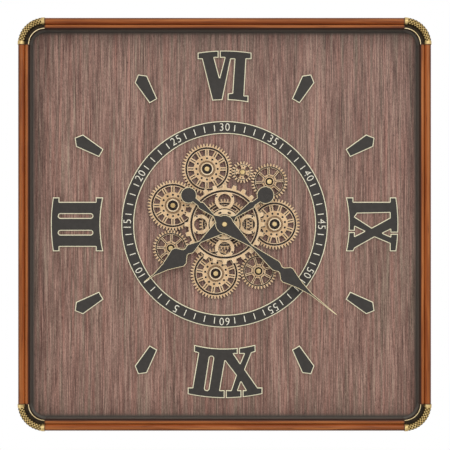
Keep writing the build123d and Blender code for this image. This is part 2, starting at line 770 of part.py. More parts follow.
# Train gears
def spoke_window(inner_r, outer_r, spokes, spoke_width):
    """The opening between two parallel-sided spokes, centred on local x."""
    with BuildSketch() as window:
        half_inner = 180 / spokes - degrees(asin(spoke_width / 2 / inner_r))
        half_outer = 180 / spokes - degrees(asin(spoke_width / 2 / outer_r))
        with BuildLine():
            CenterArc((0, 0), outer_r, -half_outer, 2 * half_outer)
            Line(turned(outer_r, half_outer), turned(inner_r, half_inner))
            CenterArc((0, 0), inner_r, -half_inner, 2 * half_inner)
            Line(turned(inner_r, -half_inner), turned(outer_r, -half_outer))
        make_face()
    return window.sketch


# Sizes of a gear's looks: rim from the tooth roots to the windows, engraving, windows and hub
LARGE_LOOK = {
    "rim": 5.2,
    "groove_inset": 1.5,
    "groove_width": 2.4,
    "web_inner_r": 19.6,
    "spokes": 12,
    "spoke_width": 5.6,
    "line_width": 1.2,
    "dot_r": 1.5,
    "dot_ring_r": 15.6,
    "boss_r": 12.0,
    "boss": 0.8,
    "collar_outer_r": 9.4,
    "collar_inner_r": 7.4,
    "collar": 2.2,
}
MEDIUM_LOOK = {
    "rim": 2.6,
    "groove_inset": 0.4,
    "groove_width": 1.5,
    "web_inner_r": 10.6,
    "spokes": 8,
    "spoke_width": 3.6,
    "line_width": 0.8,
    "dot_r": 0.8,
    "dot_ring_r": 9.2,
    "boss_r": 8.0,
    "boss": 0.5,
    "collar_outer_r": 7.4,
    "collar_inner_r": 5.8,
    "collar": 1.4,
}
SMALL_LOOK = {
    "holes": 4,
    "hole_turn": 27.0,
    "hole_r": 2.9,
    "hole_ring_r": 8.3,
    "groove_r": 11.4,
    "groove_width": 0.9,
    "dot_r": 0.9,
    "collar_outer_r": 5.0,
    "collar_inner_r": 4.0,
    "collar": 0.8,
}
GEAR_LOOKS = {LARGE_TEETH: LARGE_LOOK, MEDIUM_TEETH: MEDIUM_LOOK}


def root_radius(teeth, module):
    return module * (teeth / 2 - GEAR_DEDENDUM)


def ring(outer_r, inner_r):
    """A plain ring in the current sketch."""
    Circle(outer_r)
    Circle(inner_r, mode=Mode.SUBTRACT)


def spoked_gear(name, bore_r, hub_steps):
    """A spoked wheel with an engraved rim, and a hub of rings of outer radius, inner radius and height."""
    teeth = GEAR_TEETH[name]
    look = GEAR_LOOKS[teeth]
    root_r = root_radius(teeth, GEAR_MODULE)
    groove_r = root_r - look["groove_inset"]
    outline = gear_outline(teeth, GEAR_MODULE)
    web_outer_r = root_r - look["rim"]
    web_middle_r = (web_outer_r + look["web_inner_r"]) / 2
    between = 180 / look["spokes"]
    window = spoke_window(look["web_inner_r"], web_outer_r, look["spokes"], look["spoke_width"])
    back = facing(GEAR_LIFT, GEAR_AT[name], -GEAR_TURN[name])
    front = back.offset(GEAR_THICK)
    with BuildPart() as gear:
        with BuildSketch(back):
            add(outline)
            with PolarLocations(0, look["spokes"]):
                add(window, mode=Mode.SUBTRACT)
            Circle(bore_r, mode=Mode.SUBTRACT)
        extrude(amount=GEAR_THICK)
        with BuildSketch(front):
            ring(groove_r, groove_r - look["groove_width"])
            if bore_r < POST_HEAD_R:
                ring(look["collar_inner_r"] - HUB_RECESS_LAND, POST_HEAD_R + HUB_RECESS_LAND)
            with PolarLocations(look["dot_ring_r"], look["spokes"], start_angle=between):
                Circle(look["dot_r"])
            with PolarLocations(web_middle_r, look["spokes"], start_angle=between):
                SlotOverall(web_outer_r - look["web_inner_r"], look["line_width"])
        extrude(amount=-ENGRAVING, mode=Mode.SUBTRACT)
        for outer_r, inner_r, height in hub_steps:
            with BuildSketch(front):
                ring(outer_r, inner_r)
            extrude(amount=height)
    save(gear.part, name)


def hub_rings(name):
    """Hub of a gear on a post: a low boss, and a collar that stands round the post's head."""
    look = GEAR_LOOKS[GEAR_TEETH[name]]
    boss = (look["boss_r"], look["collar_inner_r"], look["boss"])
    collar = (look["collar_outer_r"], look["collar_inner_r"], look["collar"])
    return (boss, collar)


def small_gear(name):
    """The small gear with round holes instead of spokes."""
    look = SMALL_LOOK
    dot_turn = look["hole_turn"] + 180 / look["holes"]
    back = facing(GEAR_LIFT, GEAR_AT[name], -GEAR_TURN[name])
    outline = gear_outline(GEAR_TEETH[name], GEAR_MODULE)
    with BuildPart() as gear:
        with BuildSketch(back):
            add(outline)
            with PolarLocations(look["hole_ring_r"], look["holes"], start_angle=look["hole_turn"]):
                Circle(look["hole_r"], mode=Mode.SUBTRACT)
            Circle(POST_R + RUNNING_FIT, mode=Mode.SUBTRACT)
        extrude(amount=GEAR_THICK)
        with BuildSketch(back.offset(GEAR_THICK)):
            ring(look["groove_r"], look["groove_r"] - look["groove_width"])
            with PolarLocations(look["hole_ring_r"], look["holes"], start_angle=dot_turn):
                Circle(look["dot_r"])
        extrude(amount=-ENGRAVING, mode=Mode.SUBTRACT)
        with BuildSketch(back.offset(GEAR_THICK)):
            ring(look["collar_outer_r"], look["collar_inner_r"])
        extrude(amount=look["collar"])
    save(gear.part, name)


small_gear("small_gear")
spoked_gear("drive_gear", POST_R, hub_rings("drive_gear"))
spoked_gear("centre_gear", HUB_SLEEVE_R, ((LARGE_LOOK["boss_r"], HUB_SLEEVE_R, LAYER_GAP),))
for gear_name in GEAR_AT:
    if gear_name not in ("small_gear", "drive_gear", "centre_gear"):
        spoked_gear(gear_name, POST_R + RUNNING_FIT, hub_rings(gear_name))

# Posts with a flange under the gear, a head over it and a threaded stud through the board
with BuildPart() as gear_posts:
    for place in POST_PLACES:
        with BuildSketch(facing(0, place)):
            Circle(POST_FLANGE_R)
        extrude(amount=GEAR_LIFT - END_PLAY)
        with BuildSketch(facing(0, place)):
            Circle(POST_R)
        extrude(amount=GEAR_FRONT + END_PLAY)
        with BuildSketch(facing(GEAR_FRONT + END_PLAY, place)):
            Circle(POST_HEAD_R)
        extrude(amount=POST_HEAD)
        with BuildSketch(facing(0, place)):
            Circle(STUD_R)
        extrude(amount=-BOARD_THICK - POST_NUT)
save(gear_posts.part, "gear_posts")

with BuildPart() as post_nuts:
    for place in POST_PLACES:
        with BuildSketch(facing(-BOARD_THICK, place)):
            RegularPolygon(POST_NUT_R, 6)
            Circle(STUD_R, mode=Mode.SUBTRACT)
        extrude(amount=-POST_NUT)
save(post_nuts.part, "post_nuts")

# Coarse front wheel, fixed to the centre gear by the flanged hub
FRONT_ROOT_R = FRONT_TIP_R - FRONT_TOOTH
with BuildPart() as front_wheel:
    with BuildSketch(facing(FRONT_WHEEL_BACK)):
        Circle(FRONT_ROOT_R)
        with PolarLocations(0, FRONT_TEETH):
            filled(
                (FRONT_ROOT_R - FRONT_TOOTH, -FRONT_TIP_WIDTH / 2 - FRONT_TOOTH_SPREAD),
                (FRONT_ROOT_R - FRONT_TOOTH, FRONT_TIP_WIDTH / 2 + FRONT_TOOTH_SPREAD),
                (FRONT_TIP_R, FRONT_TIP_WIDTH / 2),
                (FRONT_TIP_R, -FRONT_TIP_WIDTH / 2),
            )
        with BuildSketch(mode=Mode.PRIVATE) as kidneys:
            ring(FRONT_KIDNEY_OUTER_R, FRONT_KIDNEY_INNER_R)
            with PolarLocations(FRONT_WINDOW_PITCH_R, FRONT_WINDOWS):
                Circle(FRONT_WINDOW_R + FRONT_LOBE_RING, mode=Mode.SUBTRACT)
        add(kidneys.sketch, mode=Mode.SUBTRACT)
        with PolarLocations(FRONT_WINDOW_PITCH_R, FRONT_WINDOWS):
            Circle(FRONT_WINDOW_R, mode=Mode.SUBTRACT)
        Circle(HUB_SLEEVE_R, mode=Mode.SUBTRACT)
    extrude(amount=FRONT_THICK)
    with BuildSketch(facing(FRONT_WHEEL_FRONT)):
        ring(FRONT_GROOVE_R, FRONT_GROOVE_R - FRONT_GROOVE_WIDTH)
        with PolarLocations(FRONT_WINDOW_PITCH_R, FRONT_WINDOWS):
            with Locations(turned(FRONT_DOT_OFF, FRONT_DOT_ANGLE), turned(FRONT_DOT_OFF, -FRONT_DOT_ANGLE)):
                Circle(FRONT_DOT_R)
    extrude(amount=-ENGRAVING, mode=Mode.SUBTRACT)
save(front_wheel.part, "front_wheel")

with BuildPart() as centre_hub:
    with BuildSketch(facing(GEAR_LIFT)):
        ring(HUB_SLEEVE_R, BUSH_R + RUNNING_FIT)
    extrude(amount=FRONT_WHEEL_FRONT - GEAR_LIFT)
    with BuildSketch(facing(FRONT_WHEEL_FRONT)):
        ring(HUB_FLANGE_R, BUSH_R + RUNNING_FIT)
        with PolarLocations(HUB_SLOT_RING_R, HUB_SLOTS, start_angle=180 / HUB_SLOTS):
            SlotOverall(HUB_SLOT_LENGTH, HUB_SLOT_WIDTH, rotation=90, mode=Mode.SUBTRACT)
    extrude(amount=HUB_FLANGE)
    with BuildSketch(facing(HUB_FRONT)):
        ring(HUB_GROOVE_R, HUB_GROOVE_R - HUB_GROOVE_WIDTH)
    extrude(amount=-HUB_GROOVE_DEPTH, mode=Mode.SUBTRACT)
save(centre_hub.part, "centre_hub")

with BuildPart() as centre_bush:
    with BuildSketch(facing(0)):
        ring(BUSH_FLANGE_R, STEM_R + STEM_FIT)
    extrude(amount=GEAR_LIFT - END_PLAY)
    with BuildSketch(facing(0)):
        ring(BUSH_R, STEM_R + STEM_FIT)
    extrude(amount=BUSH_FRONT)
save(centre_bush.part, "centre_bush")


# Hands: stations of half width, along the pointer in shares of its length and along the tail in distances
def hand_outline(pointer, length, disc_at, disc_r, bore_r):
    flare_at = disc_at - disc_r - TAIL_FLARE_GAP
    tail = (
        (0, HAND_BOSS_R - HAND_RIM),
        (TAIL_NARROWS_AT, HAND_NECK_HALF),
        (flare_at, TAIL_FLARE_HALF),
        (flare_at + TAIL_NECK_DROP, TAIL_NECK_HALF),
        (disc_at, TAIL_END_HALF),
    )
    with BuildSketch() as outline:
        right = [(half, share * length) for share, half in pointer]
        left = [(-half, share * length) for share, half in reversed(pointer)]
        filled(*right, *left)
        right = [(half, -along) for along, half in tail]
        left = [(-half, -along) for along, half in reversed(tail)]
        filled(*right, *left)
        Circle(HAND_BOSS_R)
        with Locations((0, -disc_at)):
            Circle(disc_r)
        Circle(bore_r, mode=Mode.SUBTRACT)
    return outline.sketch


MINUTE_POINTER = (
    (0, HAND_BOSS_R - HAND_RIM),
    (0.24, HAND_NECK_HALF),
    (0.453, 8.0),
    (0.47, 7.4),
    (0.496, 4.7),
    (0.511, 5.2),
    (0.547, 12.0),
    (0.568, 12.5),
    (0.614, 9.2),
    (0.681, 5.2),
    (0.775, HAND_NECK_HALF),
    (1, HAND_TIP_HALF),
)
HOUR_POINTER = (
    (0, HAND_BOSS_R - HAND_RIM),
    (0.303, HAND_NECK_HALF),
    (0.422, 7.2),
    (0.439, 6.8),
    (0.47, 4.6),
    (0.491, 5.4),
    (0.544, 14.0),
    (0.585, 15.2),
    (0.641, 11.6),
    (0.739, 6.0),
    (0.871, HAND_NECK_HALF),
    (1, HAND_TIP_HALF),
)
minute_outline = hand_outline(MINUTE_POINTER, MINUTE_LENGTH, MINUTE_TAIL, MINUTE_DISC_R, MINUTE_ARBOR_R)
hour_outline = hand_outline(HOUR_POINTER, HOUR_LENGTH, HOUR_TAIL, HOUR_DISC_R, HOUR_PIPE_R)
minute_plane = facing(MINUTE_HAND_BACK, turn=MINUTE_ANGLE)
hour_plane = facing(HOUR_HAND_BACK, turn=HOUR_ANGLE)
save(rimmed_plate(minute_outline, minute_plane, HAND_THICK, HAND_STEP, HAND_RIM), "minute_hand")
save(rimmed_plate(hour_outline, hour_plane, HAND_THICK, HAND_STEP, HAND_RIM), "hour_hand")

with BuildPart() as hand_nut:
    with BuildSketch(facing(CAP_BACK)):
        Circle(CAP_NUT_R)
    extrude(amount=CAP_NUT)
    fillet(hand_nut.faces().sort_by(Axis.Y)[0].edges(), CAP_ROUND)
    with BuildSketch(facing(CAP_BACK)):
        Circle(CAP_STUD_R)
    extrude(amount=CAP_NUT / 2, mode=Mode.SUBTRACT)
save(hand_nut.part, "hand_nut")

# Quartz movement
MOTION_DISTANCE = centre_distance(MOTION_TEETH, MINUTE_PINION_TEETH, MOTION_MODULE, MOTION_SLACK)
MOTION_AT = (0.0, MOTION_DISTANCE)
HOUR_WHEEL_FRONT = CASE_FLOOR - WHEEL_GAP
MOTION_WHEEL_FRONT = HOUR_WHEEL_FRONT - WHEEL_THICK - WHEEL_GAP
CASE_INNER = CELL_LENGTH + 2 * CONTACT_ROOM
CASE_OUTER = CASE_INNER + 2 * BOX_WALL
CASE_CORNER_R = 2 * BOX_WALL
CASE_CELL_Z = -CASE_INNER / 2 + CELL_R + CELL_GAP
MOVEMENT_DEEP = CASE_FLOOR - CELL_R - CELL_GAP

with BuildPart() as movement_case:
    with BuildSketch(facing(CASE_REAR)):
        RectangleRounded(CASE_OUTER, CASE_OUTER, CASE_CORNER_R)
    extrude(amount=CASE_FRONT - CASE_REAR)
    with BuildSketch(facing(CASE_REAR)):
        RectangleRounded(CASE_INNER, CASE_INNER, CASE_CORNER_R - BOX_WALL)
    extrude(amount=BOX_INNER, mode=Mode.SUBTRACT)
    with BuildSketch(facing(CASE_FRONT)):
        Circle(STEM_R)
    extrude(amount=STEM_FRONT - CASE_FRONT)
    with BuildSketch(facing(CASE_FLOOR)):
        Circle(HOUR_PIPE_R + RUNNING_FIT)
    extrude(amount=STEM_FRONT - CASE_FLOOR, mode=Mode.SUBTRACT)
    with BuildSketch(facing(CASE_FLOOR, MOTION_AT)):
        Circle(MOTION_ARBOR_R + RUNNING_FIT)
    extrude(amount=PIVOT_DEPTH + END_PLAY, mode=Mode.SUBTRACT)
save(movement_case.part, "movement_case")

with BuildPart() as movement_cover:
    with BuildSketch(facing(COVER_REAR)):
        RectangleRounded(CASE_OUTER, CASE_OUTER, CASE_CORNER_R)
        Circle(MINUTE_ARBOR_R + RUNNING_FIT, mode=Mode.SUBTRACT)
        with Locations(MOTION_AT):
            Circle(MOTION_ARBOR_R + RUNNING_FIT, mode=Mode.SUBTRACT)
    extrude(amount=BOX_WALL)
save(movement_cover.part, "movement_cover")

with BuildPart() as case_gasket:
    with BuildSketch(facing(CASE_FRONT)):
        ring(GASKET_R, STEM_R + STEM_FIT)
    extrude(amount=GASKET)
save(case_gasket.part, "case_gasket")

with BuildPart() as stem_washer:
    with BuildSketch(facing(BUSH_FRONT)):
        ring(STEM_WASHER_R, STEM_R + STEM_FIT)
    extrude(amount=STEM_WASHER)
save(stem_washer.part, "stem_washer")

with BuildPart() as stem_nut:
    with BuildSketch(facing(NUT_BACK)):
        RegularPolygon(STEM_NUT_R, 6)
        Circle(STEM_R, mode=Mode.SUBTRACT)
    extrude(amount=STEM_NUT)
save(stem_nut.part, "stem_nut")

# Rest angles of the motion work, so that its wheels mesh
motion_turn = meshed_turn(0.0, MINUTE_PINION_TEETH, MOTION_TEETH, 90.0)
motion_pinion_turn = meshed_turn(0.0, HOUR_WHEEL_TEETH, MOTION_PINION_TEETH, 90.0)


def fine_wheel(teeth, module):
    return gear_outline(teeth, module, WHEEL_ADDENDUM, FINE_DEDENDUM, FINE_THINNING)


def fine_pinion(teeth, module):
    return gear_outline(teeth, module, PINION_ADDENDUM, FINE_DEDENDUM, FINE_THINNING)


minute_pinion = fine_pinion(MINUTE_PINION_TEETH, MOTION_MODULE)
hour_teeth = fine_wheel(HOUR_WHEEL_TEETH, MOTION_MODULE)
motion_teeth = fine_wheel(MOTION_TEETH, MOTION_MODULE)
motion_pinion = fine_pinion(MOTION_PINION_TEETH, MOTION_MODULE)

with BuildPart() as minute_arbor:
    with BuildSketch(facing(COVER_REAR)):
        Circle(MINUTE_ARBOR_R)
    extrude(amount=CAP_BACK - COVER_REAR)
    with BuildSketch(facing(CAP_BACK)):
        Circle(CAP_STUD_R)
    extrude(amount=CAP_NUT / 2)
    with BuildSketch(facing(MOTION_WHEEL_FRONT - WHEEL_THICK)):
        add(minute_pinion)
    extrude(amount=WHEEL_THICK)
save(minute_arbor.part, "minute_arbor")

with BuildPart() as hour_wheel:
    with BuildSketch(facing(HOUR_WHEEL_FRONT - WHEEL_THICK)):
        add(hour_teeth)
    extrude(amount=WHEEL_THICK)
    with BuildSketch(facing(HOUR_WHEEL_FRONT)):
        Circle(HOUR_PIPE_R)
    extrude(amount=HOUR_HAND_BACK + HAND_THICK - HOUR_WHEEL_FRONT)
    with BuildSketch(facing(HOUR_WHEEL_FRONT - WHEEL_THICK)):
        Circle(MINUTE_ARBOR_R + RUNNING_FIT)
    extrude(amount=HOUR_HAND_BACK + HAND_THICK - HOUR_WHEEL_FRONT + WHEEL_THICK, mode=Mode.SUBTRACT)
save(hour_wheel.part, "hour_wheel")

with BuildPart() as motion_wheel:
    with BuildSketch(facing(MOTION_WHEEL_FRONT - WHEEL_THICK, MOTION_AT, -motion_turn)):
        add(motion_teeth)
    extrude(amount=WHEEL_THICK)
    with BuildSketch(facing(MOTION_WHEEL_FRONT, MOTION_AT, -motion_pinion_turn)):
        add(motion_pinion)
    extrude(amount=HOUR_WHEEL_FRONT - MOTION_WHEEL_FRONT)
    with BuildSketch(facing(KNOB_FRONT - KNOB, MOTION_AT)):
        Circle(MOTION_ARBOR_R)
    extrude(amount=CASE_FLOOR + PIVOT_DEPTH - KNOB_FRONT + KNOB)
save(motion_wheel.part, "motion_wheel")

with BuildPart() as set_knob:
    with BuildSketch(facing(KNOB_FRONT - KNOB, MOTION_AT)):
        Circle(KNOB_R)
        with PolarLocations(KNOB_R, KNOB_GRIPS):
            Circle(KNOB_GRIP_R, mode=Mode.SUBTRACT)
        Circle(MOTION_ARBOR_R, mode=Mode.SUBTRACT)
    extrude(amount=KNOB)
save(set_knob.part, "set_knob")

COIL_Z = CASE_INNER / 2 - COIL_FLANGE_R
COIL_X = -CASE_INNER / 2 + COIL_SETBACK
with BuildPart() as stepper_coil:
    coil_middle = (COIL_X, BOARD_Y - CASE_FLOOR + COIL_FLANGE_R, COIL_Z)
    coil_plane = Plane(origin=coil_middle, x_dir=(0, 0, 1), z_dir=(1, 0, 0))
    with BuildSketch(coil_plane):
        Circle(COIL_R)
    extrude(amount=COIL_LENGTH / 2, both=True)
    for flange_end in (-COIL_LENGTH / 2, COIL_LENGTH / 2 - COIL_FLANGE):
        with BuildSketch(coil_plane.offset(flange_end)):
            Rectangle(2 * COIL_FLANGE_R, 2 * COIL_FLANGE_R)
        extrude(amount=COIL_FLANGE)
save(stepper_coil.part, "stepper_coil")

CIRCUIT_AT = (CASE_INNER / 2 - CIRCUIT_WIDTH / 2, CASE_INNER / 2 - CIRCUIT_HEIGHT / 2 - CASE_CORNER_R)
with BuildPart() as circuit_board:
    with BuildSketch(facing(CASE_FLOOR - CIRCUIT_THICK, CIRCUIT_AT)):
        Rectangle(CIRCUIT_WIDTH, CIRCUIT_HEIGHT)
    extrude(amount=CIRCUIT_THICK)
    crystal_y = BOARD_Y - CASE_FLOOR + CIRCUIT_THICK + CRYSTAL_R / 2
    crystal_middle = (CIRCUIT_AT[0], crystal_y, CIRCUIT_AT[1])
    with BuildSketch(Plane(origin=crystal_middle, x_dir=(0, 0, 1), z_dir=(1, 0, 0))):
        Circle(CRYSTAL_R)
    extrude(amount=CRYSTAL_LENGTH / 2, both=True)
save(circuit_board.part, "circuit_board")


# Cells and their contacts
def cell(middle, along):
    """A round cell with its nub, about its middle, with its nub towards a direction."""
    tail = tuple(m - a * CELL_LENGTH / 2 for m, a in zip(middle, along))
    foot = Plane(origin=tail, x_dir=(0, 1, 0), z_dir=along)
    with BuildPart() as body:
        with BuildSketch(foot):
            Circle(CELL_R)
        extrude(amount=CELL_LENGTH - CELL_NUB)
        with BuildSketch(foot):
            Circle(CELL_NUB_R)
        extrude(amount=CELL_LENGTH)
    return body.part


def contact(middle, along):
    """A plate on the wall past a cell's end, with a button that meets the cell."""
    seat = tuple(m + a * (CELL_LENGTH / 2 + CONTACT_ROOM) for m, a in zip(middle, along))
    wall = Plane(origin=seat, x_dir=(0, 1, 0), z_dir=tuple(-a for a in along))
    with BuildPart() as blade:
        with BuildSketch(wall):
            Rectangle(2 * CONTACT_HALF, 2 * CONTACT_HALF)
        extrude(amount=CONTACT_PLATE)
        with BuildSketch(wall):
            Circle(CONTACT_BUTTON_R)
        extrude(amount=CONTACT_ROOM)
    return blade.part


CASE_CELL = (0.0, BOARD_Y - MOVEMENT_DEEP, CASE_CELL_Z)
movement_cell = cell(CASE_CELL, (1, 0, 0))
save(movement_cell, "movement_cell")

with BuildPart() as movement_contacts:
    add(contact(CASE_CELL, (1, 0, 0)))
    add(contact(CASE_CELL, (-1, 0, 0)))
save(movement_contacts.part, "movement_contacts")

# Gear drive: places measured from the drive shaft
REDUCTION_DROP = centre_distance(DRIVE_TEETH, DRIVE_PINION_TEETH, DRIVE_MODULE, DRIVE_SLACK)
MOTOR_DROP = REDUCTION_DROP + centre_distance(REDUCTION_TEETH, DRIVE_PINION_TEETH, DRIVE_MODULE, DRIVE_SLACK)
REDUCTION_AT = (DRIVE_AT[0], DRIVE_AT[1] - REDUCTION_DROP)
MOTOR_AT = (DRIVE_AT[0], DRIVE_AT[1] - MOTOR_DROP)
BOX_CENTRE = (DRIVE_AT[0] + DRIVE_BOX_MIDDLE, DRIVE_AT[1] - DRIVE_BOX_DROP)
CELL_BAY_X = DRIVE_AT[0] - GEAR_BAY_HALF - BOX_WALL - CELL_BAY / 2
DRIVE_WHEEL_BACK = DRIVE_FLOOR - WHEEL_GAP - DRIVE_WHEEL_THICK
REDUCTION_WHEEL_BACK = DRIVE_WHEEL_BACK - WHEEL_GAP - DRIVE_WHEEL_THICK
DRIVE_INNER_HEIGHT = DRIVE_BOX_HEIGHT - 2 * BOX_WALL

with BuildPart() as drive_housing:
    with BuildSketch(facing(DRIVE_REAR, BOX_CENTRE)):
        Rectangle(DRIVE_BOX_WIDTH, DRIVE_BOX_HEIGHT)
    extrude(amount=-BOARD_THICK - DRIVE_REAR)
    with BuildSketch(facing(DRIVE_REAR, (DRIVE_AT[0], BOX_CENTRE[1]))):
        Rectangle(2 * GEAR_BAY_HALF, DRIVE_INNER_HEIGHT)
    extrude(amount=BOX_INNER, mode=Mode.SUBTRACT)
    with BuildSketch(facing(DRIVE_REAR, (CELL_BAY_X, BOX_CENTRE[1]))):
        Rectangle(CELL_BAY, DRIVE_INNER_HEIGHT)
    extrude(amount=BOX_INNER, mode=Mode.SUBTRACT)
    with BuildSketch(facing(DRIVE_FLOOR, DRIVE_AT)):
        with Locations(*EAR_PLACES):
            Rectangle(EAR, EAR)
    extrude(amount=BOX_WALL)
    with BuildSketch(facing(DRIVE_FLOOR, DRIVE_AT)):
        Circle(POST_R + RUNNING_FIT)
        with Locations(*EAR_PLACES):
            Circle(SHORT_SCREW_R)
    extrude(amount=BOX_WALL, mode=Mode.SUBTRACT)
    with BuildSketch(facing(DRIVE_FLOOR, REDUCTION_AT)):
        Circle(REDUCTION_PIN_R)
    extrude(amount=DRIVE_REAR - DRIVE_FLOOR)
save(drive_housing.part, "drive_housing")

with BuildPart() as drive_cover:
    with BuildSketch(facing(DRIVE_COVER_REAR, BOX_CENTRE)):
        Rectangle(DRIVE_BOX_WIDTH, DRIVE_BOX_HEIGHT)
        with Locations((DRIVE_AT[0] - BOX_CENTRE[0], DRIVE_AT[1] - BOX_CENTRE[1])):
            Circle(POST_R + RUNNING_FIT, mode=Mode.SUBTRACT)
    extrude(amount=BOX_WALL)
save(drive_cover.part, "drive_cover")

# Rest angles of the reduction, worked out from the drive wheel down to the motor
reduction_pinion_turn = meshed_turn(0.0, DRIVE_TEETH, DRIVE_PINION_TEETH, -90.0)
motor_pinion_turn = meshed_turn(reduction_pinion_turn, REDUCTION_TEETH, DRIVE_PINION_TEETH, -90.0)
drive_teeth = fine_wheel(DRIVE_TEETH, DRIVE_MODULE)
reduction_teeth = fine_wheel(REDUCTION_TEETH, DRIVE_MODULE)
drive_pinion = fine_pinion(DRIVE_PINION_TEETH, DRIVE_MODULE)

with BuildPart() as drive_shaft:
    with BuildSketch(facing(DRIVE_COVER_REAR, DRIVE_AT)):
        Circle(POST_R)
    extrude(amount=GEAR_FRONT + DRIVE_SHAFT_PROUD - DRIVE_COVER_REAR)
    with BuildSketch(facing(DRIVE_WHEEL_BACK, DRIVE_AT)):
        add(drive_teeth)
    extrude(amount=DRIVE_WHEEL_THICK)
save(drive_shaft.part, "drive_shaft")

with BuildPart() as reduction_gear:
    with BuildSketch(facing(REDUCTION_WHEEL_BACK, REDUCTION_AT, -reduction_pinion_turn)):
        add(reduction_teeth)
    extrude(amount=DRIVE_WHEEL_THICK)
    with BuildSketch(facing(REDUCTION_WHEEL_BACK, REDUCTION_AT, -reduction_pinion_turn)):
        add(drive_pinion)
    extrude(amount=DRIVE_FLOOR - WHEEL_GAP - REDUCTION_WHEEL_BACK)
    with BuildSketch(facing(REDUCTION_WHEEL_BACK, REDUCTION_AT)):
        Circle(REDUCTION_PIN_R + RUNNING_FIT)
    extrude(amount=DRIVE_FLOOR - WHEEL_GAP - REDUCTION_WHEEL_BACK, mode=Mode.SUBTRACT)
save(reduction_gear.part, "reduction_gear")

with BuildPart() as drive_motor:
    with BuildSketch(facing(DRIVE_REAR, MOTOR_AT)):
        Circle(MOTOR_R)
        Circle(MOTOR_SHAFT_R + RUNNING_FIT, mode=Mode.SUBTRACT)
    extrude(amount=MOTOR_THICK)
save(drive_motor.part, "drive_motor")

with BuildPart() as motor_pinion:
    with BuildSketch(facing(REDUCTION_WHEEL_BACK, MOTOR_AT, -motor_pinion_turn)):
        add(drive_pinion)
    extrude(amount=DRIVE_WHEEL_THICK)
    with BuildSketch(facing(DRIVE_REAR + END_PLAY, MOTOR_AT)):
        Circle(MOTOR_SHAFT_R)
    extrude(amount=REDUCTION_WHEEL_BACK + DRIVE_WHEEL_THICK - DRIVE_REAR - END_PLAY)
save(motor_pinion.part, "motor_pinion")

CELL_STEP = CELL_R + CELL_GAP / 2
DRIVE_CELL_Y = BOARD_Y - DRIVE_FLOOR + CELL_R + CELL_GAP
DRIVE_CELLS = (
    ((CELL_BAY_X - CELL_STEP, DRIVE_CELL_Y, BOX_CENTRE[1]), (0, 0, 1)),
    ((CELL_BAY_X + CELL_STEP, DRIVE_CELL_Y, BOX_CENTRE[1]), (0, 0, -1)),
)
with BuildPart() as drive_cells:
    for middle, nub_way in DRIVE_CELLS:
        add(cell(middle, nub_way))
save(drive_cells.part, "drive_cells")

with BuildPart() as drive_contacts:
    for middle, nub_way in DRIVE_CELLS:
        add(contact(middle, nub_way))
        add(contact(middle, tuple(-way for way in nub_way)))
save(drive_contacts.part, "drive_contacts")
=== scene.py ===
# %% [markdown]
# # A square wall clock with turning gears
# The clock has a moulded wooden frame with brass corners, a veneered board, raised hour plates, a
# minute ring and a train of gears in the middle. Its solids are loaded first, each one in place.
# The lesson then gives every piece its finish, and models the ornament that is easier to shape
# here: the castings at the corners and the printed minutes.

# %% Load the clock
import bpy
import json
from math import cos, pi, radians, sin
from mathutils import Matrix, Vector


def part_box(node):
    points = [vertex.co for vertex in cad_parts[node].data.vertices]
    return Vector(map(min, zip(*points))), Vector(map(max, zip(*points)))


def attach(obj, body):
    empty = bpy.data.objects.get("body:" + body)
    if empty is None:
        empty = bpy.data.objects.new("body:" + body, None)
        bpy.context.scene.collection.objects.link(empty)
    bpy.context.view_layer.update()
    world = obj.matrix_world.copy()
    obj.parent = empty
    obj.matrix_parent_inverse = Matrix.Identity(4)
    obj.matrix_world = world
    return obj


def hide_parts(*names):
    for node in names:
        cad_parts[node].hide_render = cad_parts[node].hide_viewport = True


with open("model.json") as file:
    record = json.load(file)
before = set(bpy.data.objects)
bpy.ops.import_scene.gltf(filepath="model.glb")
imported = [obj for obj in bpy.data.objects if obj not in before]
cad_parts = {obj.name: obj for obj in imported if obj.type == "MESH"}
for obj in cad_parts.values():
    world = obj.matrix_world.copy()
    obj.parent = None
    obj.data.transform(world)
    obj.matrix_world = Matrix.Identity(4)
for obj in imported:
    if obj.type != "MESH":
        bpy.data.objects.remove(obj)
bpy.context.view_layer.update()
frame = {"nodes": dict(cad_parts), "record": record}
bpy.ops.object.select_all(action="DESELECT")

MM = 0.001
BOARD_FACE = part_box("dial_board")[0].y


def level(height):
    """The y of a level that lies so many millimetres in front of the board."""
    return BOARD_FACE - height * MM


print(f"the board's face is at y {BOARD_FACE:.5f} m")

# %% [markdown]
# ## A short way to write a finish
# Every finish here is a small tree of nodes on one shader. It could be drawn by hand in the shader
# editor, but a tree that is written out can be read, repeated and changed in a line. The class
# below opens a material, adds nodes to it and closes it.

# %% A material and its nodes
COAT_ROUGHNESS = 0.3


def srgb(red, green, blue):
    """A colour read as 0 to 255 on a screen, as the linear colour that a socket takes."""
    def linear(share):
        return share / 12.92 if share <= 0.04045 else ((share + 0.055) / 1.055) ** 2.4
    return (linear(red / 255), linear(green / 255), linear(blue / 255), 1.0)


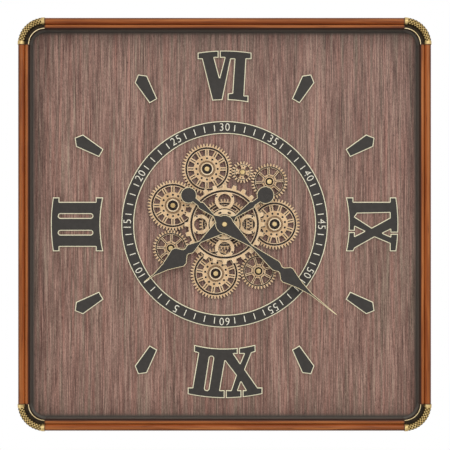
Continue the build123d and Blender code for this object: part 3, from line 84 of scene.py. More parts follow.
class ShaderTree:
    """A material in the making: one shader, and the nodes that lead to it."""

    def __init__(self, name, metallic=0.0, roughness=0.5, specular=0.2, coat=0.0):
        self.material = bpy.data.materials.new(name)
        self.material.use_nodes = True
        self.tree = self.material.node_tree
        self.shader = self.tree.nodes["Principled BSDF"]
        self.shader.inputs["Metallic"].default_value = metallic
        self.shader.inputs["Roughness"].default_value = roughness
        self.shader.inputs["Specular IOR Level"].default_value = specular
        self.shader.inputs["Coat Weight"].default_value = coat
        self.shader.inputs["Coat Roughness"].default_value = COAT_ROUGHNESS

    def add(self, kind, inputs, **settings):
        """A node, with sockets linked from other sockets or set to constants."""
        node = self.tree.nodes.new(kind)
        for name, value in settings.items():
            setattr(node, name, value)
        for key, value in inputs.items():
            if isinstance(value, bpy.types.NodeSocket):
                self.tree.links.new(value, node.inputs[key])
            else:
                node.inputs[key].default_value = value
        return node

    def done(self, colour, roughness=None, bump=None):
        """Link the colour and, where given, a roughness and a bump of (height, strength, depth)."""
        self.tree.links.new(colour, self.shader.inputs["Base Color"])
        if roughness is not None:
            self.tree.links.new(roughness, self.shader.inputs["Roughness"])
        if bump is not None:
            height, strength, depth = bump
            relief = self.add("ShaderNodeBump",
                              {"Height": height, "Strength": strength, "Distance": depth})
            self.tree.links.new(relief.outputs[0], self.shader.inputs["Normal"])
        return self.material


finishes = {}
print(f"middle grey on a screen is {srgb(128, 128, 128)[0]:.3f} of white's light")

# %% [markdown]
# A finish needs only a few kinds of node: noise, sums, scales of colour, mixtures, and a test for
# edges. A second class gives each a short method, which returns the socket that carries its result.
# The coordinates are always the object's own, so that a grain or a stain stays on its piece when
# the piece turns. A mix node has sockets for every kind of data, and those for colours are numbered
# here.

# %% The kinds of node
MIX_SHARE, MIX_FIRST, MIX_SECOND, MIX_RESULT = 0, 6, 7, 2
EDGE_SAMPLES = 6


def even(features):
    """The same number of features a metre along x, y and z."""
    return (features, features, features)


class Finish(ShaderTree):
    """A material with a short method for each kind of node."""

    def __init__(self, name, **settings):
        super().__init__(name, **settings)
        self.coordinates = self.tree.nodes.new("ShaderNodeTexCoord")
        place = self.add("ShaderNodeSeparateXYZ", {0: self.coordinates.outputs["Object"]})
        facing = self.add("ShaderNodeSeparateXYZ", {0: self.coordinates.outputs["Normal"]})
        self.x, self.y, self.z = place.outputs
        self.facing_y = facing.outputs["Y"]

    def noise(self, stretch, detail, roughness=0.55, distortion=0.0, shift=(0.0, 0.0, 0.0)):
        """Noise with so many features a metre along x, y and z."""
        place = self.add("ShaderNodeMapping", {"Vector": self.coordinates.outputs["Object"],
                                               "Scale": stretch, "Location": shift})
        node = self.add("ShaderNodeTexNoise",
                        {"Vector": place.outputs[0], "Scale": 1.0, "Detail": detail,
                         "Roughness": roughness, "Distortion": distortion})
        return node.outputs[0]

    def math(self, operation, first, second=0.0, third=0.0):
        """A sum, product or test of up to three values."""
        node = self.add("ShaderNodeMath", {0: first, 1: second, 2: third}, operation=operation)
        return node.outputs[0]

    def off(self, value, middle):
        """How far a value lies from a middle one, to either side."""
        return self.math("ABSOLUTE", self.math("SUBTRACT", value, middle))

    def share(self, value, start, end):
        """How far a value has come from start to end, held between 0 and 1."""
        node = self.add("ShaderNodeMapRange",
                        {"Value": value, "From Min": start, "From Max": end}, clamp=True)
        return node.outputs[0]

    def ramp(self, value, *stops):
        """A colour read off a scale of (place, colour) stops."""
        node = self.add("ShaderNodeValToRGB", {0: value})
        for _ in stops[2:]:
            node.color_ramp.elements.new(0.5)
        for element, (place, colour) in zip(node.color_ramp.elements, stops):
            element.position = place
            element.color = colour
        return node.outputs[0]

    def mix(self, share, first, second, blend="MIX"):
        """Two colours mixed: the first where the share is 0, the second where it is 1."""
        node = self.add("ShaderNodeMix", {MIX_SHARE: share, MIX_FIRST: first, MIX_SECOND: second},
                        data_type="RGBA", blend_type=blend)
        return node.outputs[MIX_RESULT]

    def tint(self, colour, tone, share=1.0):
        """A colour darkened by a tone, as a dye darkens wood."""
        return self.mix(share, colour, tone, "MULTIPLY")

    def edges(self, radius, start=0.99, end=0.80):
        """1 on a sharp edge and 0 on a flat, from how far a rounded edge would tilt the surface."""
        bevel = self.add("ShaderNodeBevel", {"Radius": radius}, samples=EDGE_SAMPLES)
        geometry = self.tree.nodes.new("ShaderNodeNewGeometry")
        dot = self.add("ShaderNodeVectorMath",
                       {0: bevel.outputs[0], 1: geometry.outputs["Normal"]},
                       operation="DOT_PRODUCT")
        return self.share(dot.outputs["Value"], start, end)


print("a finish has", ", ".join(name for name in vars(Finish) if not name.startswith("__")))

# %% [markdown]
# ## Places on the frame
# Painted shade, stain and dirt lie where the shape of a frame puts them: along an edge, in a
# groove, against a wall. A mask could be painted by hand, but a distance that the finish works out
# for itself is exact and needs no picture. Here are the distance in from the frame's outer edge,
# the distance along a rail, and the wall inside the opening, grey with a black painted shadow along
# its front edge.

# %% Distances on the frame
FRAME_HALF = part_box("rail_right")[1].x
OPENING_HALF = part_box("rail_right")[0].x
RAIL_WIDTH = FRAME_HALF - OPENING_HALF
RAIL_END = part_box("rail_right")[1].z
RAIL_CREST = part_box("rail_right")[0].y
# The wall's painted shadow fades from black to grey between these depths.
WALL_SHADOW_FADE = (RAIL_CREST + 7.0 * MM, RAIL_CREST + 12.0 * MM)
BLACK_SHADOW_AND_DIRT = srgb(44, 34, 28)


def from_outside(finish):
    """Distance in from the outer edge of the square frame, in metres."""
    aside, upwards = finish.math("ABSOLUTE", finish.x), finish.math("ABSOLUTE", finish.z)
    return finish.math("SUBTRACT", FRAME_HALF, finish.math("MAXIMUM", aside, upwards))


def along_rail(finish):
    """Distance from the middle of a rail towards its ends, in metres."""
    aside, upwards = finish.math("ABSOLUTE", finish.x), finish.math("ABSOLUTE", finish.z)
    return finish.math("MINIMUM", aside, upwards)


def blackened_wall(finish, grey):
    """The colour of the wall inside the opening: a black painted shadow at its front edge, grey
    further in.
    """
    return finish.mix(finish.share(finish.y, *WALL_SHADOW_FADE), BLACK_SHADOW_AND_DIRT, grey)


print(f"rails are {RAIL_WIDTH / MM:.1f} mm wide and {2 * RAIL_END / MM:.1f} mm long")

# %% [markdown]
# ## Varnished rails
# The rails are stained hardwood under a satin varnish. The grain is noise stretched along each
# rail, which stays sharp at any distance where a picture would not. A painted shade that depends on
# the distance in is laid over the grain: dark at the beads' outer edges and in the groove between
# them, with a painted highlight along the crest of the inner bead and a painted shadow at its foot.
# Dirt gathers where a rail meets a corner.

# %% The rails' finish
RAIL_TONES = ((0.30, srgb(126, 64, 24)), (0.50, srgb(164, 94, 42)), (0.72, srgb(198, 126, 68)))
PORE_SPAN, RAIL_PORE = (0.58, 0.75), srgb(88, 42, 16)
FRONT_SPAN = (-0.1, -0.5)
BEAD_SHADE_REACH = 16.8 * MM
# Painted shade across the two beads: dark at their outer edges and in the groove, none on the
# crests.
BEAD_SHADE = (
    (0.00, srgb(118, 98, 86)), (0.09, srgb(168, 148, 134)), (0.22, srgb(255, 255, 255)),
    (0.40, srgb(230, 212, 196)), (0.54, srgb(228, 194, 162)), (0.60, srgb(226, 192, 160)),
    (0.68, srgb(255, 255, 255)), (0.84, srgb(226, 214, 206)), (0.96, srgb(84, 62, 52)))
INNER_CREST = 11.4 * MM
CREST_HIGHLIGHT_SPAN, CREST_HIGHLIGHT_SHARE, CREST_HIGHLIGHT_WOOD = (1.5 * MM, 0.4 * MM), 0.55, srgb(206, 132, 78)
FOOT_SHADOW_SPAN, FOOT_SHADOW = (14.3 * MM, 15.3 * MM), srgb(52, 25, 14)
WALL_SPAN, WALL_GREY = (RAIL_WIDTH - 0.12 * MM, RAIL_WIDTH - 0.02 * MM), srgb(96, 91, 84)
JOINT_SPAN, JOINT_DIRT = (RAIL_END - 2.2 * MM, RAIL_END - 0.2 * MM), 0.8


def rail_varnish(name, along_x):
    """Grain along the rail, painted shade, highlight and shadow by the distance in, and dirt at the
    joints.
    """
    finish = Finish(name, roughness=0.42, coat=0.05)
    coarse = (7.0, 120.0, 120.0) if along_x else (120.0, 120.0, 7.0)
    fine = (22.0, 700.0, 700.0) if along_x else (700.0, 700.0, 22.0)
    grain = finish.noise(coarse, detail=6.0, distortion=0.6)
    pores = finish.noise(fine, detail=3.0)
    wood = finish.ramp(grain, *RAIL_TONES)
    wood = finish.mix(finish.share(pores, *PORE_SPAN), wood, RAIL_PORE)
    inwards = from_outside(finish)
    front = finish.share(finish.facing_y, *FRONT_SPAN)
    # Painted shade across the beads, laid on the faces that look forwards.
    bead_shade = finish.ramp(finish.share(inwards, 0.0, BEAD_SHADE_REACH), *BEAD_SHADE)
    wood = finish.mix(front, wood, finish.tint(wood, bead_shade))
    # Painted highlight along the crest of the inner bead.
    crest_highlight = finish.share(finish.off(inwards, INNER_CREST), *CREST_HIGHLIGHT_SPAN)
    crest_highlight = finish.math("MULTIPLY", finish.math("MULTIPLY", crest_highlight, CREST_HIGHLIGHT_SHARE), front)
    wood = finish.mix(crest_highlight, wood, CREST_HIGHLIGHT_WOOD)
    # Painted shadow along the foot of the inner bead, under the lip.
    wood = finish.mix(finish.share(inwards, *FOOT_SHADOW_SPAN), wood, FOOT_SHADOW)
    # The wall inside the opening: grey, with a black painted shadow along its front edge.
    wood = finish.mix(finish.share(inwards, *WALL_SPAN), wood, blackened_wall(finish, WALL_GREY))
    # Dirt at the joints, in the same black as the wall's painted shadow.
    joint = finish.share(along_rail(finish), *JOINT_SPAN)
    wood = finish.mix(finish.math("MULTIPLY", joint, JOINT_DIRT), wood, BLACK_SHADOW_AND_DIRT)
    return finish.done(wood, bump=(pores, 0.12, 0.2 * MM))


finishes["rail across"] = rail_varnish("rail_varnish_across", along_x=True)
finishes["rail upright"] = rail_varnish("rail_varnish_upright", along_x=False)
print("the stain has", len(BEAD_SHADE), "shades across the two beads")

# %% [markdown]
# ## The dial board
# The board is faced with a brown veneer whose fine streaks run upright, with short flecks and a few
# thin dark veins. One noise could not give all three, so each is a noise of its own, stretched
# along z by its own amount. A slow noise also lets the hue wander, as it does from one strip of
# wood to the next.

# %% The veneer's grain
VENEER_TONES = ((0.38, srgb(88, 61, 53)), (0.49, srgb(146, 115, 103)), (0.61, srgb(204, 167, 151)))
VENEER_HUES = (
    (0.30, srgb(236, 255, 246)), (0.50, srgb(252, 247, 246)), (0.70, srgb(255, 230, 226)))
STREAK_SHARE, BROAD_SHARE, GRIT_SHARE, HUE_SHARE = 0.62, 0.16, 0.22, 0.9
DARK_SPAN, DARK_FLECK = (0.60, 0.74), srgb(80, 56, 50)
PALE_SPAN, PALE_FLECK = (0.34, 0.22), srgb(208, 168, 150)
VEIN_AT, VEIN_WIDTH, VEIN_SHARE, VEIN = 0.5, 0.020, 0.55, srgb(76, 54, 48)


def veneer_grain(finish, streaks):
    """Streaks, flecks and veins along z, in a hue that wanders."""
    broad = finish.noise((70.0, 70.0, 6.0), detail=3.0)
    flecks = finish.noise((950.0, 950.0, 110.0), detail=3.0)
    grit = finish.noise((1500.0, 1500.0, 500.0), detail=2.0)
    veins = finish.noise((150.0, 150.0, 2.4), detail=2.0, shift=(3.0, 0.0, 1.0))
    hue = finish.noise((210.0, 210.0, 5.0), detail=3.0, shift=(0.0, 0.0, 4.0))
    tone = finish.math("MULTIPLY", broad, BROAD_SHARE)
    tone = finish.math("MULTIPLY_ADD", streaks, STREAK_SHARE, tone)
    tone = finish.math("MULTIPLY_ADD", grit, GRIT_SHARE, tone)
    wood = finish.ramp(tone, *VENEER_TONES)
    wood = finish.mix(finish.share(flecks, *DARK_SPAN), wood, DARK_FLECK)
    wood = finish.mix(finish.share(flecks, *PALE_SPAN), wood, PALE_FLECK)
    vein = finish.share(finish.off(veins, VEIN_AT), VEIN_WIDTH, 0.0)
    wood = finish.mix(finish.math("MULTIPLY", vein, VEIN_SHARE), wood, VEIN)
    return finish.tint(wood, finish.ramp(hue, *VENEER_HUES), HUE_SHARE)


print("the grain has", len(VENEER_TONES), "tones and", len(VENEER_HUES), "hues")

# %% [markdown]
# The veneer is given painted shade: a little darker away from the middle of the dial, darker again
# towards the frame, and a dark painted shadow right against the frame. These follow distances
# again: one from the middle of the dial, the other from the frame. The back is left as bare board,
# which the direction of a face tells.

# %% The veneer's painted shade
OUTER_SHADE_SPAN, OUTER_PAINTED_SHADE = (110.0 * MM, 170.0 * MM), srgb(243, 243, 242)
EDGE_SHADE_SPAN, EDGE_PAINTED_SHADE = (16.0 * MM, 48.0 * MM), srgb(236, 238, 238)
FRAME_SHADOW_SPAN, FRAME_PAINTED_SHADOW = (17.0 * MM, 22.0 * MM), srgb(84, 77, 70)
BARE_BOARD = ((0.3, srgb(120, 92, 66)), (0.7, srgb(158, 124, 90)))
FACING = 0.5


def from_centre(finish):
    """Distance from the middle of the dial, in metres."""
    square = finish.math("MULTIPLY", finish.z, finish.z)
    return finish.math("SQRT", finish.math("MULTIPLY_ADD", finish.x, finish.x, square))


def dial_veneer():
    finish = Finish("dial_veneer", roughness=0.5, coat=0.05)
    streaks = finish.noise((640.0, 640.0, 15.0), detail=6.0, roughness=0.72, distortion=0.1)
    wood = veneer_grain(finish, streaks)
    # Painted shade: the veneer is a little darker away from the middle of the dial.
    outer = finish.share(from_centre(finish), *OUTER_SHADE_SPAN)
    wood = finish.mix(outer, wood, finish.tint(wood, OUTER_PAINTED_SHADE))
    # Painted shade towards the frame, and a dark painted shadow right against it.
    inwards = from_outside(finish)
    wood = finish.mix(finish.share(inwards, *EDGE_SHADE_SPAN), finish.tint(wood, EDGE_PAINTED_SHADE), wood)
    wood = finish.mix(finish.share(inwards, *FRAME_SHADOW_SPAN), FRAME_PAINTED_SHADOW, wood)
    bare = finish.ramp(streaks, *BARE_BOARD)
    back = finish.math("GREATER_THAN", finish.facing_y, FACING)
    return finish.done(finish.mix(back, wood, bare), bump=(streaks, 0.15, 0.2 * MM))


finishes["board"] = dial_veneer()
print("the veneer takes", len(finishes["board"].node_tree.nodes), "nodes")

# %% [markdown]
# ## Painted plates and hands
# The hour plates, the minute ring and the hands are cut from sheet with a fine raised face inside a
# lower rim. The raised face is painted charcoal and the rim is left pale gold, which draws the
# bright outline. Faces could be picked one by one, but the finish can tell the two apart by their
# level, so one recipe serves every plate. It leaves the cut edge dark gold.

# %% Plate and hand paint
CHARCOAL, PALE_GOLD, HAND_GOLD = srgb(61, 58, 55), srgb(255, 248, 215), srgb(246, 230, 188)
PLATE_WALL, HAND_WALL = srgb(120, 98, 66), srgb(150, 128, 88)
PAINT_CLOUDS, PAINT_WANDER = (0.3, 0.7), 1.25
GOLD_CLOUDS, GOLD_WANDER = (0.35, 0.65), 0.93
PLATE_RIM, HOUR_RIM, MINUTE_RIM = level(2.4), level(18.8), level(21.4)
PLATE_EDGE_WEAR_AND_HIGHLIGHT, HAND_EDGE_WEAR_AND_HIGHLIGHT = 0.3 * MM, 0.2 * MM
LEVEL_SLACK = 0.2 * MM


def scaled(colour, share):
    """A colour made lighter or darker by a share."""
    return tuple(share * part for part in colour[:3]) + (1.0,)


def edged_paint(name, rim_level, rim, wall, worn):
    """A charcoal face in front of a level, worn along its edge with a painted highlight, and a pale
    rim behind it.
    """
    finish = Finish(name, roughness=0.5, specular=0.1)
    cloud = finish.noise(even(160.0), detail=4.0)
    grit = finish.noise(even(1500.0), detail=2.0)
    clouded = finish.share(cloud, *PAINT_CLOUDS)
    paint = finish.mix(clouded, CHARCOAL, scaled(CHARCOAL, PAINT_WANDER))
    # Pale gold along the face's edge: wear, and a painted highlight that widens the bright outline.
    paint = finish.mix(finish.edges(worn), paint, rim)
    gold = finish.mix(finish.share(cloud, *GOLD_CLOUDS), rim, scaled(rim, GOLD_WANDER))
    raised = finish.math("LESS_THAN", finish.y, rim_level - LEVEL_SLACK)
    front = finish.math("LESS_THAN", finish.facing_y, -FACING)
    colour = finish.mix(front, wall, finish.mix(raised, gold, paint))
    return finish.done(colour, bump=(grit, 0.06, 0.1 * MM))


finishes["plate"] = edged_paint("plate_paint", PLATE_RIM, PALE_GOLD, PLATE_WALL, PLATE_EDGE_WEAR_AND_HIGHLIGHT)
for hand, rim_level in (("hour", HOUR_RIM), ("minute", MINUTE_RIM)):
    finishes[f"{hand} hand"] = edged_paint(f"{hand}_hand_paint", rim_level, HAND_GOLD, HAND_WALL,
                                           HAND_EDGE_WEAR_AND_HIGHLIGHT)
print(f"plates change colour at y {PLATE_RIM / MM:.2f} mm")

# %% [markdown]
# ## Gears
# The gears are cut from thin birch ply, sanded to a pale tan on the front. The saw leaves the walls
# of teeth and windows scorched dark, with a thin burnt line on the face, and the engraved lines are
# dark for the same reason. Just inside that line the wood is paler: wear from handling, with a
# painted highlight along the edge. The lines could be modelled, but a bevel test finds them in any
# shape, because it tells how near an edge is.

# %% The gears' wood
HEIGHTS = 20.0
GEAR_EDGE = 1.1 * MM
WEAR_AND_HIGHLIGHT_TILT, BURNT_TILT = (0.99, 0.91), (0.885, 0.82)
WEAR_AND_HIGHLIGHT_BY_HEIGHT = ((6.2, 0.85), (6.4, 0.25), (7.7, 0.25), (8.0, 0.90))
WHITE, WORN_AND_HIGHLIT_WOOD = srgb(255, 255, 255), srgb(255, 246, 224)
FIGURE_SPAN, FIGURE = (0.35, 0.7), srgb(222, 212, 196)
SCORCH = ((0.3, srgb(28, 18, 12)), (0.7, srgb(54, 37, 22)))


def gear_wood(name, engraved, *tones, hub_shadow_reach=0.0):
    """Ply with an engraved level, a tone for each height of its steps, a painted highlight with
    wear along its edges, and a painted shadow under and round a hub.
    """
    finish = Finish(name, roughness=0.48)
    figure = finish.noise((150.0, 150.0, 40.0), detail=5.0, distortion=0.5)
    height = finish.share(finish.y, level(0.0), level(HEIGHTS))
    wood = finish.ramp(height, *((tall / HEIGHTS, tone) for tall, tone in tones))
    wood = finish.mix(finish.share(figure, *FIGURE_SPAN), wood, finish.tint(wood, FIGURE))
    # Painted highlight with wear along every edge, as strong as each height calls for.
    worn = finish.ramp(height, *((tall / HEIGHTS, scaled(WHITE, share)) for tall, share in WEAR_AND_HIGHLIGHT_BY_HEIGHT))
    highlit_edges = finish.math("MULTIPLY", finish.edges(GEAR_EDGE, *WEAR_AND_HIGHLIGHT_TILT), worn)
    wood = finish.mix(highlit_edges, wood, WORN_AND_HIGHLIT_WOOD)
    scorched = finish.ramp(figure, *SCORCH)
    wood = finish.mix(finish.edges(GEAR_EDGE, *BURNT_TILT), wood, scorched)
    line = finish.math("COMPARE", finish.y, level(engraved), LEVEL_SLACK)
    wall = finish.math("LESS_THAN", finish.math("ABSOLUTE", finish.facing_y), FACING)
    # Painted shadow on the front wheel under the hub and in a thin ring round it.
    hub_shadow = finish.math("LESS_THAN", from_centre(finish), hub_shadow_reach)
    cut = finish.math("MAXIMUM", finish.math("MAXIMUM", line, wall), hub_shadow)
    return finish.done(finish.mix(cut, wood, scorched), bump=(figure, 0.1, 0.2 * MM))


print(f"wear reaches {GEAR_EDGE / MM:.1f} mm in from an edge")

# %% [markdown]
# The gears of the train stand lower than the front wheel and its hub, so each kind has levels of
# its own. A tone is given for each height in millimetres in front of the board: tan on the body,
# brown as painted shade where a step lies low, cream as painted light on what stands highest.

# %% The gears' finishes
TAN, SHADED_BROWN, LIT_CREAM = srgb(234, 198, 154), srgb(156, 122, 86), srgb(255, 228, 188)
TRAIN_FACE = 6.0
TRAIN_ENGRAVED, FRONT_ENGRAVED, HUB_ENGRAVED = 5.2, 10.2, 11.6
HUB_SHADOW_MARGIN = 1.4 * MM

# Brown on low steps is painted shade, cream on the highest is painted light.
finishes["gear"] = gear_wood("gear_ply", TRAIN_ENGRAVED, (6.1, TAN), (6.4, SHADED_BROWN), (6.9, SHADED_BROWN),
                             (7.3, TAN), (8.1, LIT_CREAM))
finishes["front wheel"] = gear_wood("front_wheel_ply", FRONT_ENGRAVED, (10.9, TAN), (11.1, LIT_CREAM),
                                    hub_shadow_reach=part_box("centre_hub")[1].x + HUB_SHADOW_MARGIN)
finishes["hub"] = gear_wood("hub_ply", HUB_ENGRAVED, (11.0, SHADED_BROWN), (12.1, LIT_CREAM))
print(f"train gears are engraved {TRAIN_FACE - TRAIN_ENGRAVED:.1f} mm deep")

# %% [markdown]
# ## Metals
# Brass, zinc and steel differ by colour, by how rough they are and by what has happened to them.
# One recipe serves them all: a base metal, a darker tarnish in large soft clouds, and a fine
# scatter in the roughness so that no highlight is perfectly clean.

# %% The metals
TARNISH_SPAN = (0.38, 0.70)
EDGE_TARNISH = srgb(58, 44, 26)
SCRATCH_SCATTER = 0.2


def scattered(finish, noise, roughness, scatter):
    """A roughness that wanders with a noise, by so much in all."""
    return finish.math("MULTIPLY_ADD", noise, scatter, roughness - scatter / 2)


def metal(name, bright, tarnish, roughness, clouds=90.0, metallic=0.85, dull_edge=0.0):
    """A metal with tarnish in clouds, and where asked along its edges."""
    finish = Finish(name, metallic=metallic)
    cloud = finish.noise(even(clouds), detail=5.0)
    scratch = finish.noise(even(900.0), detail=3.0)
    colour = finish.mix(finish.share(cloud, *TARNISH_SPAN), srgb(*bright), srgb(*tarnish))
    if dull_edge:
        colour = finish.mix(finish.edges(dull_edge), colour, EDGE_TARNISH)
    return finish.done(colour, scattered(finish, scratch, roughness, SCRATCH_SCATTER),
                       bump=(scratch, 0.05, 0.1 * MM))


metals = {
    "corner": metal("corner_brass", (160, 134, 78), (104, 82, 42), 0.44, 300.0),
    "collar": metal("corner_collar_brass", (214, 190, 134), (168, 140, 86), 0.46, 240.0),
    "patina": metal("corner_patina", (50, 37, 17), (28, 21, 11), 0.65, 260.0, metallic=0.2),
    "channel": metal("corner_channel", (66, 54, 36), (34, 28, 20), 0.65, 160.0, metallic=0.2),
    "bead": metal("corner_bead_brass", (232, 212, 170), (190, 168, 122), 0.44),
    "post": metal("post_brass", (196, 174, 128), (156, 132, 88), 0.44, dull_edge=0.8 * MM),
    "zinc": metal("zinc_steel", (186, 188, 190), (132, 134, 136), 0.36, 140.0),
    "motor can": metal("motor_can", (170, 172, 176), (120, 122, 126), 0.28, 120.0),
    "coil": metal("coil_copper", (190, 104, 58), (120, 58, 30), 0.40, 700.0),
}
finishes.update(metals)
print("metals:", ", ".join(metals))

# %% [markdown]
# ## Plastics, rubber, laminate and plain timber
# The parts behind the dial are ordinary: moulded plastic with a spark-eroded texture, soft rubber,
# green laminate, banded sleeves on the cells and sawn softwood battens. A plain colour would be
# enough to tell them apart, but would look like paper, so each has a texture of its own.

# %% The finishes behind the dial
MOULD_WEAR, SLEEVE_WEAR = (0.35, 0.75), (0.3, 0.7)
SPARK_SCATTER = 0.16
PINE_TONES = ((0.3, srgb(172, 132, 84)), (0.5, srgb(206, 168, 116)), (0.7, srgb(226, 192, 142)))
SLEEVE_DARK, SLEEVE_PALE, SLEEVE_BAND = srgb(44, 46, 52), srgb(58, 60, 66), srgb(178, 132, 62)
SLEEVE_EVERY, SLEEVE_FROM = 16.0 * MM, 12.0 * MM


def moulded(name, colour, worn, roughness, grain=1400.0):
    """A moulded piece, with the texture of its mould and worn in clouds."""
    finish = Finish(name)
    cloud = finish.noise(even(60.0), detail=3.0)
    spark = finish.noise(even(grain), detail=2.0)
    tone = finish.mix(finish.share(cloud, *MOULD_WEAR), srgb(*colour), srgb(*worn))
    return finish.done(tone, scattered(finish, spark, roughness, SPARK_SCATTER),
                       bump=(spark, 0.12, 0.1 * MM))


def sawn_timber():
    finish = Finish("sawn_pine", roughness=0.7)
    grain = finish.noise((8.0, 160.0, 160.0), detail=5.0, distortion=0.8)
    saw = finish.noise((420.0, 60.0, 60.0), detail=1.0)
    return finish.done(finish.ramp(grain, *PINE_TONES), bump=(saw, 0.15, 0.2 * MM))


def cell_sleeve():
    finish = Finish("cell_sleeve", roughness=0.35)
    cloud = finish.noise(even(80.0), detail=2.0)
    to_and_fro = finish.math("PINGPONG", finish.x, SLEEVE_EVERY)
    band = finish.math("GREATER_THAN", to_and_fro, SLEEVE_FROM)
    sleeve = finish.mix(finish.share(cloud, *SLEEVE_WEAR), SLEEVE_DARK, SLEEVE_PALE)
    return finish.done(finish.mix(band, sleeve, SLEEVE_BAND), bump=(cloud, 0.05, 0.4 * MM))


finishes["batten"] = sawn_timber()
finishes["rubber"] = moulded("bumper_rubber", (46, 44, 42), (70, 66, 62), 0.75, grain=900.0)
finishes["movement"] = moulded("movement_plastic", (38, 38, 40), (52, 52, 55), 0.48)
finishes["drive"] = moulded("drive_plastic", (58, 60, 64), (74, 76, 80), 0.50)
finishes["wheel"] = moulded("wheel_plastic", (226, 220, 204), (206, 198, 178), 0.42)
finishes["laminate"] = moulded("circuit_laminate", (34, 92, 58), (24, 70, 44), 0.40, grain=500.0)
finishes["cell"] = cell_sleeve()
print(len(finishes), "finishes so far")

# %% [markdown]
# ## Dress the solids
# Each solid now takes the finish of what it is made of. The record already names a material slot
# for every solid, so most finishes go by slot, which is shorter than a list of all the solids.
# Rails go by name because their grain differs, and so do the front wheel and the two hands, because
# their levels differ, and the dowels, which are of plain timber.

# %% Assign the finishes
BY_SLOT = {
    "board_wood": "board", "batten_wood": "batten", "dial_plate": "plate", "gear_wood": "gear",
    "corner_brass": "corner", "hub_gilt": "hub", "post_brass": "post", "zinc_steel": "zinc",
    "bumper_rubber": "rubber", "movement_plastic": "movement", "drive_plastic": "drive",
    "wheel_plastic": "wheel", "motor_can": "motor can", "coil_copper": "coil",
    "circuit_laminate": "laminate", "cell_wrap": "cell",
}
BY_NAME = {
    "rail_top": "rail across", "rail_bottom": "rail across", "rail_left": "rail upright",
    "rail_right": "rail upright", "front_wheel": "front wheel", "hour_hand": "hour hand",
    "minute_hand": "minute hand", "corner_dowels": "batten",
}


def dress(thing, finish):
    """Give an object one finish all over."""
    thing.data.materials.clear()
    thing.data.materials.append(finishes[finish])


for part in frame["record"]["subparts"]:
    node = part["node"]
    dress(frame["nodes"][node], BY_NAME.get(node) or BY_SLOT[part["material_slot"]])

# %% [markdown]
# ## Helpers for modelling
# Blender's tools work on what is selected and active, so every step begins by choosing one object.
# A finished piece keeps its place in its mesh and its object at the origin. The helpers here choose
# a piece, apply its place, join several into one, and open and close one for editing.

# %% Choose, apply and join
def choose(*things):
    """Select these objects alone, the first of them active."""
    bpy.ops.object.select_all(action="DESELECT")
    for thing in things:
        thing.select_set(True)
    bpy.context.view_layer.objects.active = things[0]


def settle(thing):
    """Put an object's place, turn and size into its mesh."""
    choose(thing)
    bpy.ops.object.transform_apply(location=True, rotation=True, scale=True)
    return thing


def join(things, name):
    """Make one object of several, under a new name."""
    choose(*things)
    bpy.ops.object.join()
    joined = bpy.context.object
    joined.name = name
    joined.data.name = name
    return joined


def edit(thing):
    """Open an object for editing with every vertex selected."""
    choose(thing)
    bpy.ops.object.mode_set(mode="EDIT")
    bpy.ops.mesh.select_mode(type="VERT")
    bpy.ops.mesh.select_all(action="SELECT")


def close_edit():
    bpy.ops.object.mode_set(mode="OBJECT")
    return bpy.context.object


def copy_of(thing):
    """A copy with a mesh of its own."""
    twin = thing.copy()
    twin.data = thing.data.copy()
    bpy.context.collection.objects.link(twin)
    return twin


# %% [markdown]
# ## Printed minutes
# The ring carries the minutes in fives, printed in pale ink with their feet towards the centre.
# Digits could be drawn as outlines, but Blender's own plain letters serve: each number is set as
# text, made a mesh with a little thickness, and turned to its minute. Print stands a hair above the
# paint, as thick ink does.

# %% The minute numbers
RING_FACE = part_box("minute_ring")[0].y
PRINT_FOOT_R = 137.2 * MM
INK_THICKNESS = 0.12 * MM
MINUTE_DEGREES = 6
DIGIT_HEIGHT = 11.2 * MM
DIGIT_WIDTH = 0.94
DIGIT_SPACING = 1.12
DIGIT_THINNING = -0.006
CURVE_STEPS = 3


def around_dial(thing, minute):
    """Stand a flat object on the ring at a minute, its foot towards the centre."""
    angle = radians(MINUTE_DEGREES * minute)
    thing.rotation_euler = (pi / 2, angle, 0.0)
    thing.location = (PRINT_FOOT_R * sin(angle), RING_FACE, PRINT_FOOT_R * cos(angle))
    return settle(thing)


def thicken():
    """Raise the flat shape that is open for editing by the thickness of ink, and close it."""
    bpy.ops.mesh.extrude_region_move(TRANSFORM_OT_translate={"value": (0.0, 0.0, INK_THICKNESS)})
    return close_edit()


def minute_number(minute):
    bpy.ops.object.text_add()
    text = bpy.context.object
    text.data.body = str(minute)
    text.data.align_x = "CENTER"
    text.data.space_character = DIGIT_SPACING
    text.data.offset = DIGIT_THINNING
    text.data.resolution_u = CURVE_STEPS
    choose(text)
    bpy.ops.object.convert(target="MESH")
    number = bpy.context.object
    size = DIGIT_HEIGHT / number.dimensions.y
    number.scale = (DIGIT_WIDTH * size, size, 1.0)
    settle(number)
    edit(number)
    return around_dial(thicken(), minute)


numbers = join([minute_number(5 * step) for step in range(1, 13)], "minute_numbers")
print("minute numbers:", len(numbers.data.vertices), "vertices")

# %% [markdown]
# ## Minute ticks
# Between each pair of numbers stand four ticks. A tick is a short bar with eased ends, as a screen
# print leaves it. One is modelled and copied to the forty-eight minutes that have no number, which
# keeps them all alike.

# %% The ticks
TICK_LENGTH = 9.2 * MM
TICK_WIDTH = 1.15 * MM
TICK_ROUND = 0.3 * MM


def first_tick():
    bpy.ops.mesh.primitive_plane_add(size=1.0, location=(0.0, TICK_LENGTH / 2, 0.0))
    tick = bpy.context.object
    tick.scale = (TICK_WIDTH, TICK_LENGTH, 1.0)
    settle(tick)
    edit(tick)
    bpy.ops.mesh.bevel(offset=TICK_ROUND, segments=2, affect="VERTICES")
    bpy.ops.mesh.select_all(action="SELECT")
    return thicken()


